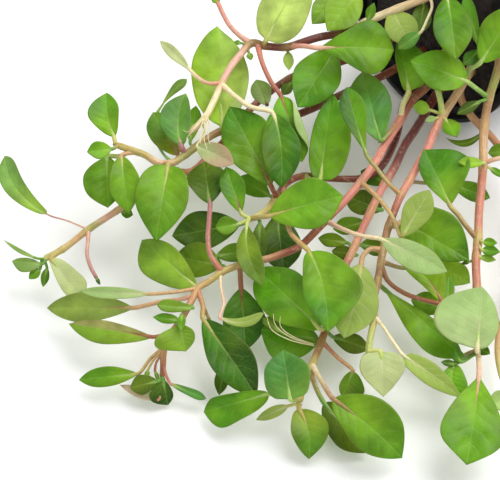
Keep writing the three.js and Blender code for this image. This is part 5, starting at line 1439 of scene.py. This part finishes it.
def make_medium(draw):
    """The plug of fibres and crumbs that fills the pot, with loose fibres on its face."""
    foot, top = POT_WALL + GAP, POT_HEIGHT - MEDIUM_RECESS
    bpy.ops.mesh.primitive_cylinder_add(vertices=PLUG_SIDES, radius=1, depth=top - foot,
                                        location=(0, 0, (top + foot) / 2))
    plug = bpy.context.active_object
    plug.name = "rooting_medium"
    bpy.ops.object.transform_apply(location=True)
    edit("DESELECT")
    done()
    for face in plug.data.polygons:
        face.select = abs(face.normal.z) > 0.9
    bpy.ops.object.mode_set(mode="EDIT")
    for _ in range(PLUG_RINGS):
        bpy.ops.mesh.inset(thickness=0.1)
    bpy.ops.mesh.select_all(action="SELECT")
    bpy.ops.mesh.subdivide(number_cuts=1)
    done()
    for vertex in plug.data.vertices:
        place = vertex.co
        reach = math.hypot(place.x, place.y)
        spread = wall_radius(place.z) - POT_WALL - GAP
        lump = noise.fractal(Vector((place.x * spread, place.y * spread, place.z)) * 0.35, 0.7, 2.0, 4)
        domed = place.z > top - 0.01
        rise = (MEDIUM_DOME * (1 - reach ** 2) + LUMPS * lump) if domed else 0
        shrink = 0.985 - 0.02 * abs(lump)
        vertex.co = (place.x * spread * shrink, place.y * spread * shrink, place.z + rise)
    bpy.ops.object.shade_smooth()
    fibres = []
    for _ in range(FIBRES):
        angle, reach = draw.uniform(0, 2 * math.pi), math.sqrt(draw.random()) * FIBRE_REACH
        spread = (wall_radius(top) - POT_WALL - GAP) * reach
        level = top + MEDIUM_DOME * (1 - reach ** 2) - GAP
        start = Vector((math.cos(angle) * spread, math.sin(angle) * spread, level))
        heading = draw.uniform(0, 2 * math.pi)
        step = draw.uniform(0.5, 1.3)
        points = [start]
        for _ in range(FIBRE_POINTS - 1):
            heading += draw.uniform(-0.7, 0.7)
            rise = draw.uniform(-0.25, 0.45)
            points.append(points[-1] + Vector((math.cos(heading) * step, math.sin(heading) * step, rise)))
        fibres.append((points, draw.uniform(0.05, 0.13)))
    curve = bpy.data.curves.new("fibres", "CURVE")
    curve.dimensions = "3D"
    curve.bevel_depth = 1
    curve.bevel_resolution = 0
    for points, thick in fibres:
        spline = curve.splines.new("POLY")
        spline.points.add(len(points) - 1)
        for spot, place in zip(spline.points, points):
            spot.co = (*place, 1)
            spot.radius = thick
    strands = bpy.data.objects.new("fibres", curve)
    bpy.context.scene.collection.objects.link(strands)
    make_active(strands)
    bpy.ops.object.convert(target="MESH")
    plug = join([plug, bpy.context.active_object], "rooting_medium")
    lie_down(plug)
    plug.data.materials.clear()
    plug.data.materials.append(medium_material())
    return plug


hand_in(make_pot(), "pot")
hand_in(make_medium(draws), "growing_medium")
for blank in (LARGE_BLADE, SMALL_BLADE, STALK_TUBE, STEM_TUBE):
    bpy.data.objects.remove(blank)


# Floor, light and camera

FLOOR_SIZE = 6
SKY_STRENGTH = 0.82
WINDOW_PLACE = (0.32, 0.2, 0.72)
WINDOW_SIZE = 0.7
WINDOW_POWER = 5.2
bpy.ops.mesh.primitive_plane_add(size=FLOOR_SIZE, location=(0, 0, 0))
floor = bpy.context.active_object
floor.name = "floor"
floor.data.materials.append(floor_material())

world = bpy.data.worlds.new("studio")
world.use_nodes = True
world.node_tree.nodes["Background"].inputs["Color"].default_value = (1, 1, 1, 1)
world.node_tree.nodes["Background"].inputs["Strength"].default_value = SKY_STRENGTH
bpy.context.scene.world = world


def area_light(name, place, aim, size, power):
    lamp = bpy.data.lights.new(name, "AREA")
    lamp.shape = "DISK"
    lamp.size = size
    lamp.energy = power
    lit = bpy.data.objects.new(name, lamp)
    lit.location = place
    lit.rotation_mode = "QUATERNION"
    lit.rotation_quaternion = (Vector(aim) - Vector(place)).to_track_quat("-Z", "Y")
    bpy.context.scene.collection.objects.link(lit)


area_light("window", WINDOW_PLACE, (0, 0, 0), WINDOW_SIZE, WINDOW_POWER)

camera = bpy.data.objects.new("camera", bpy.data.cameras.new("camera"))
camera.data.sensor_width = SENSOR_WIDTH
camera.data.lens = SENSOR_WIDTH * CAMERA_DISTANCE * PIXELS_PER_MM / VIEW_WIDTH
camera.data.clip_start, camera.data.clip_end = 0.02, 20
camera.location = (EYE + SHIFT) * MM
camera.rotation_mode = "QUATERNION"
camera.rotation_quaternion = SIGHT.to_track_quat("-Z", "Y")
bpy.context.scene.collection.objects.link(camera)
bpy.context.scene.camera = camera
bpy.context.scene.view_settings.view_transform = "Standard"
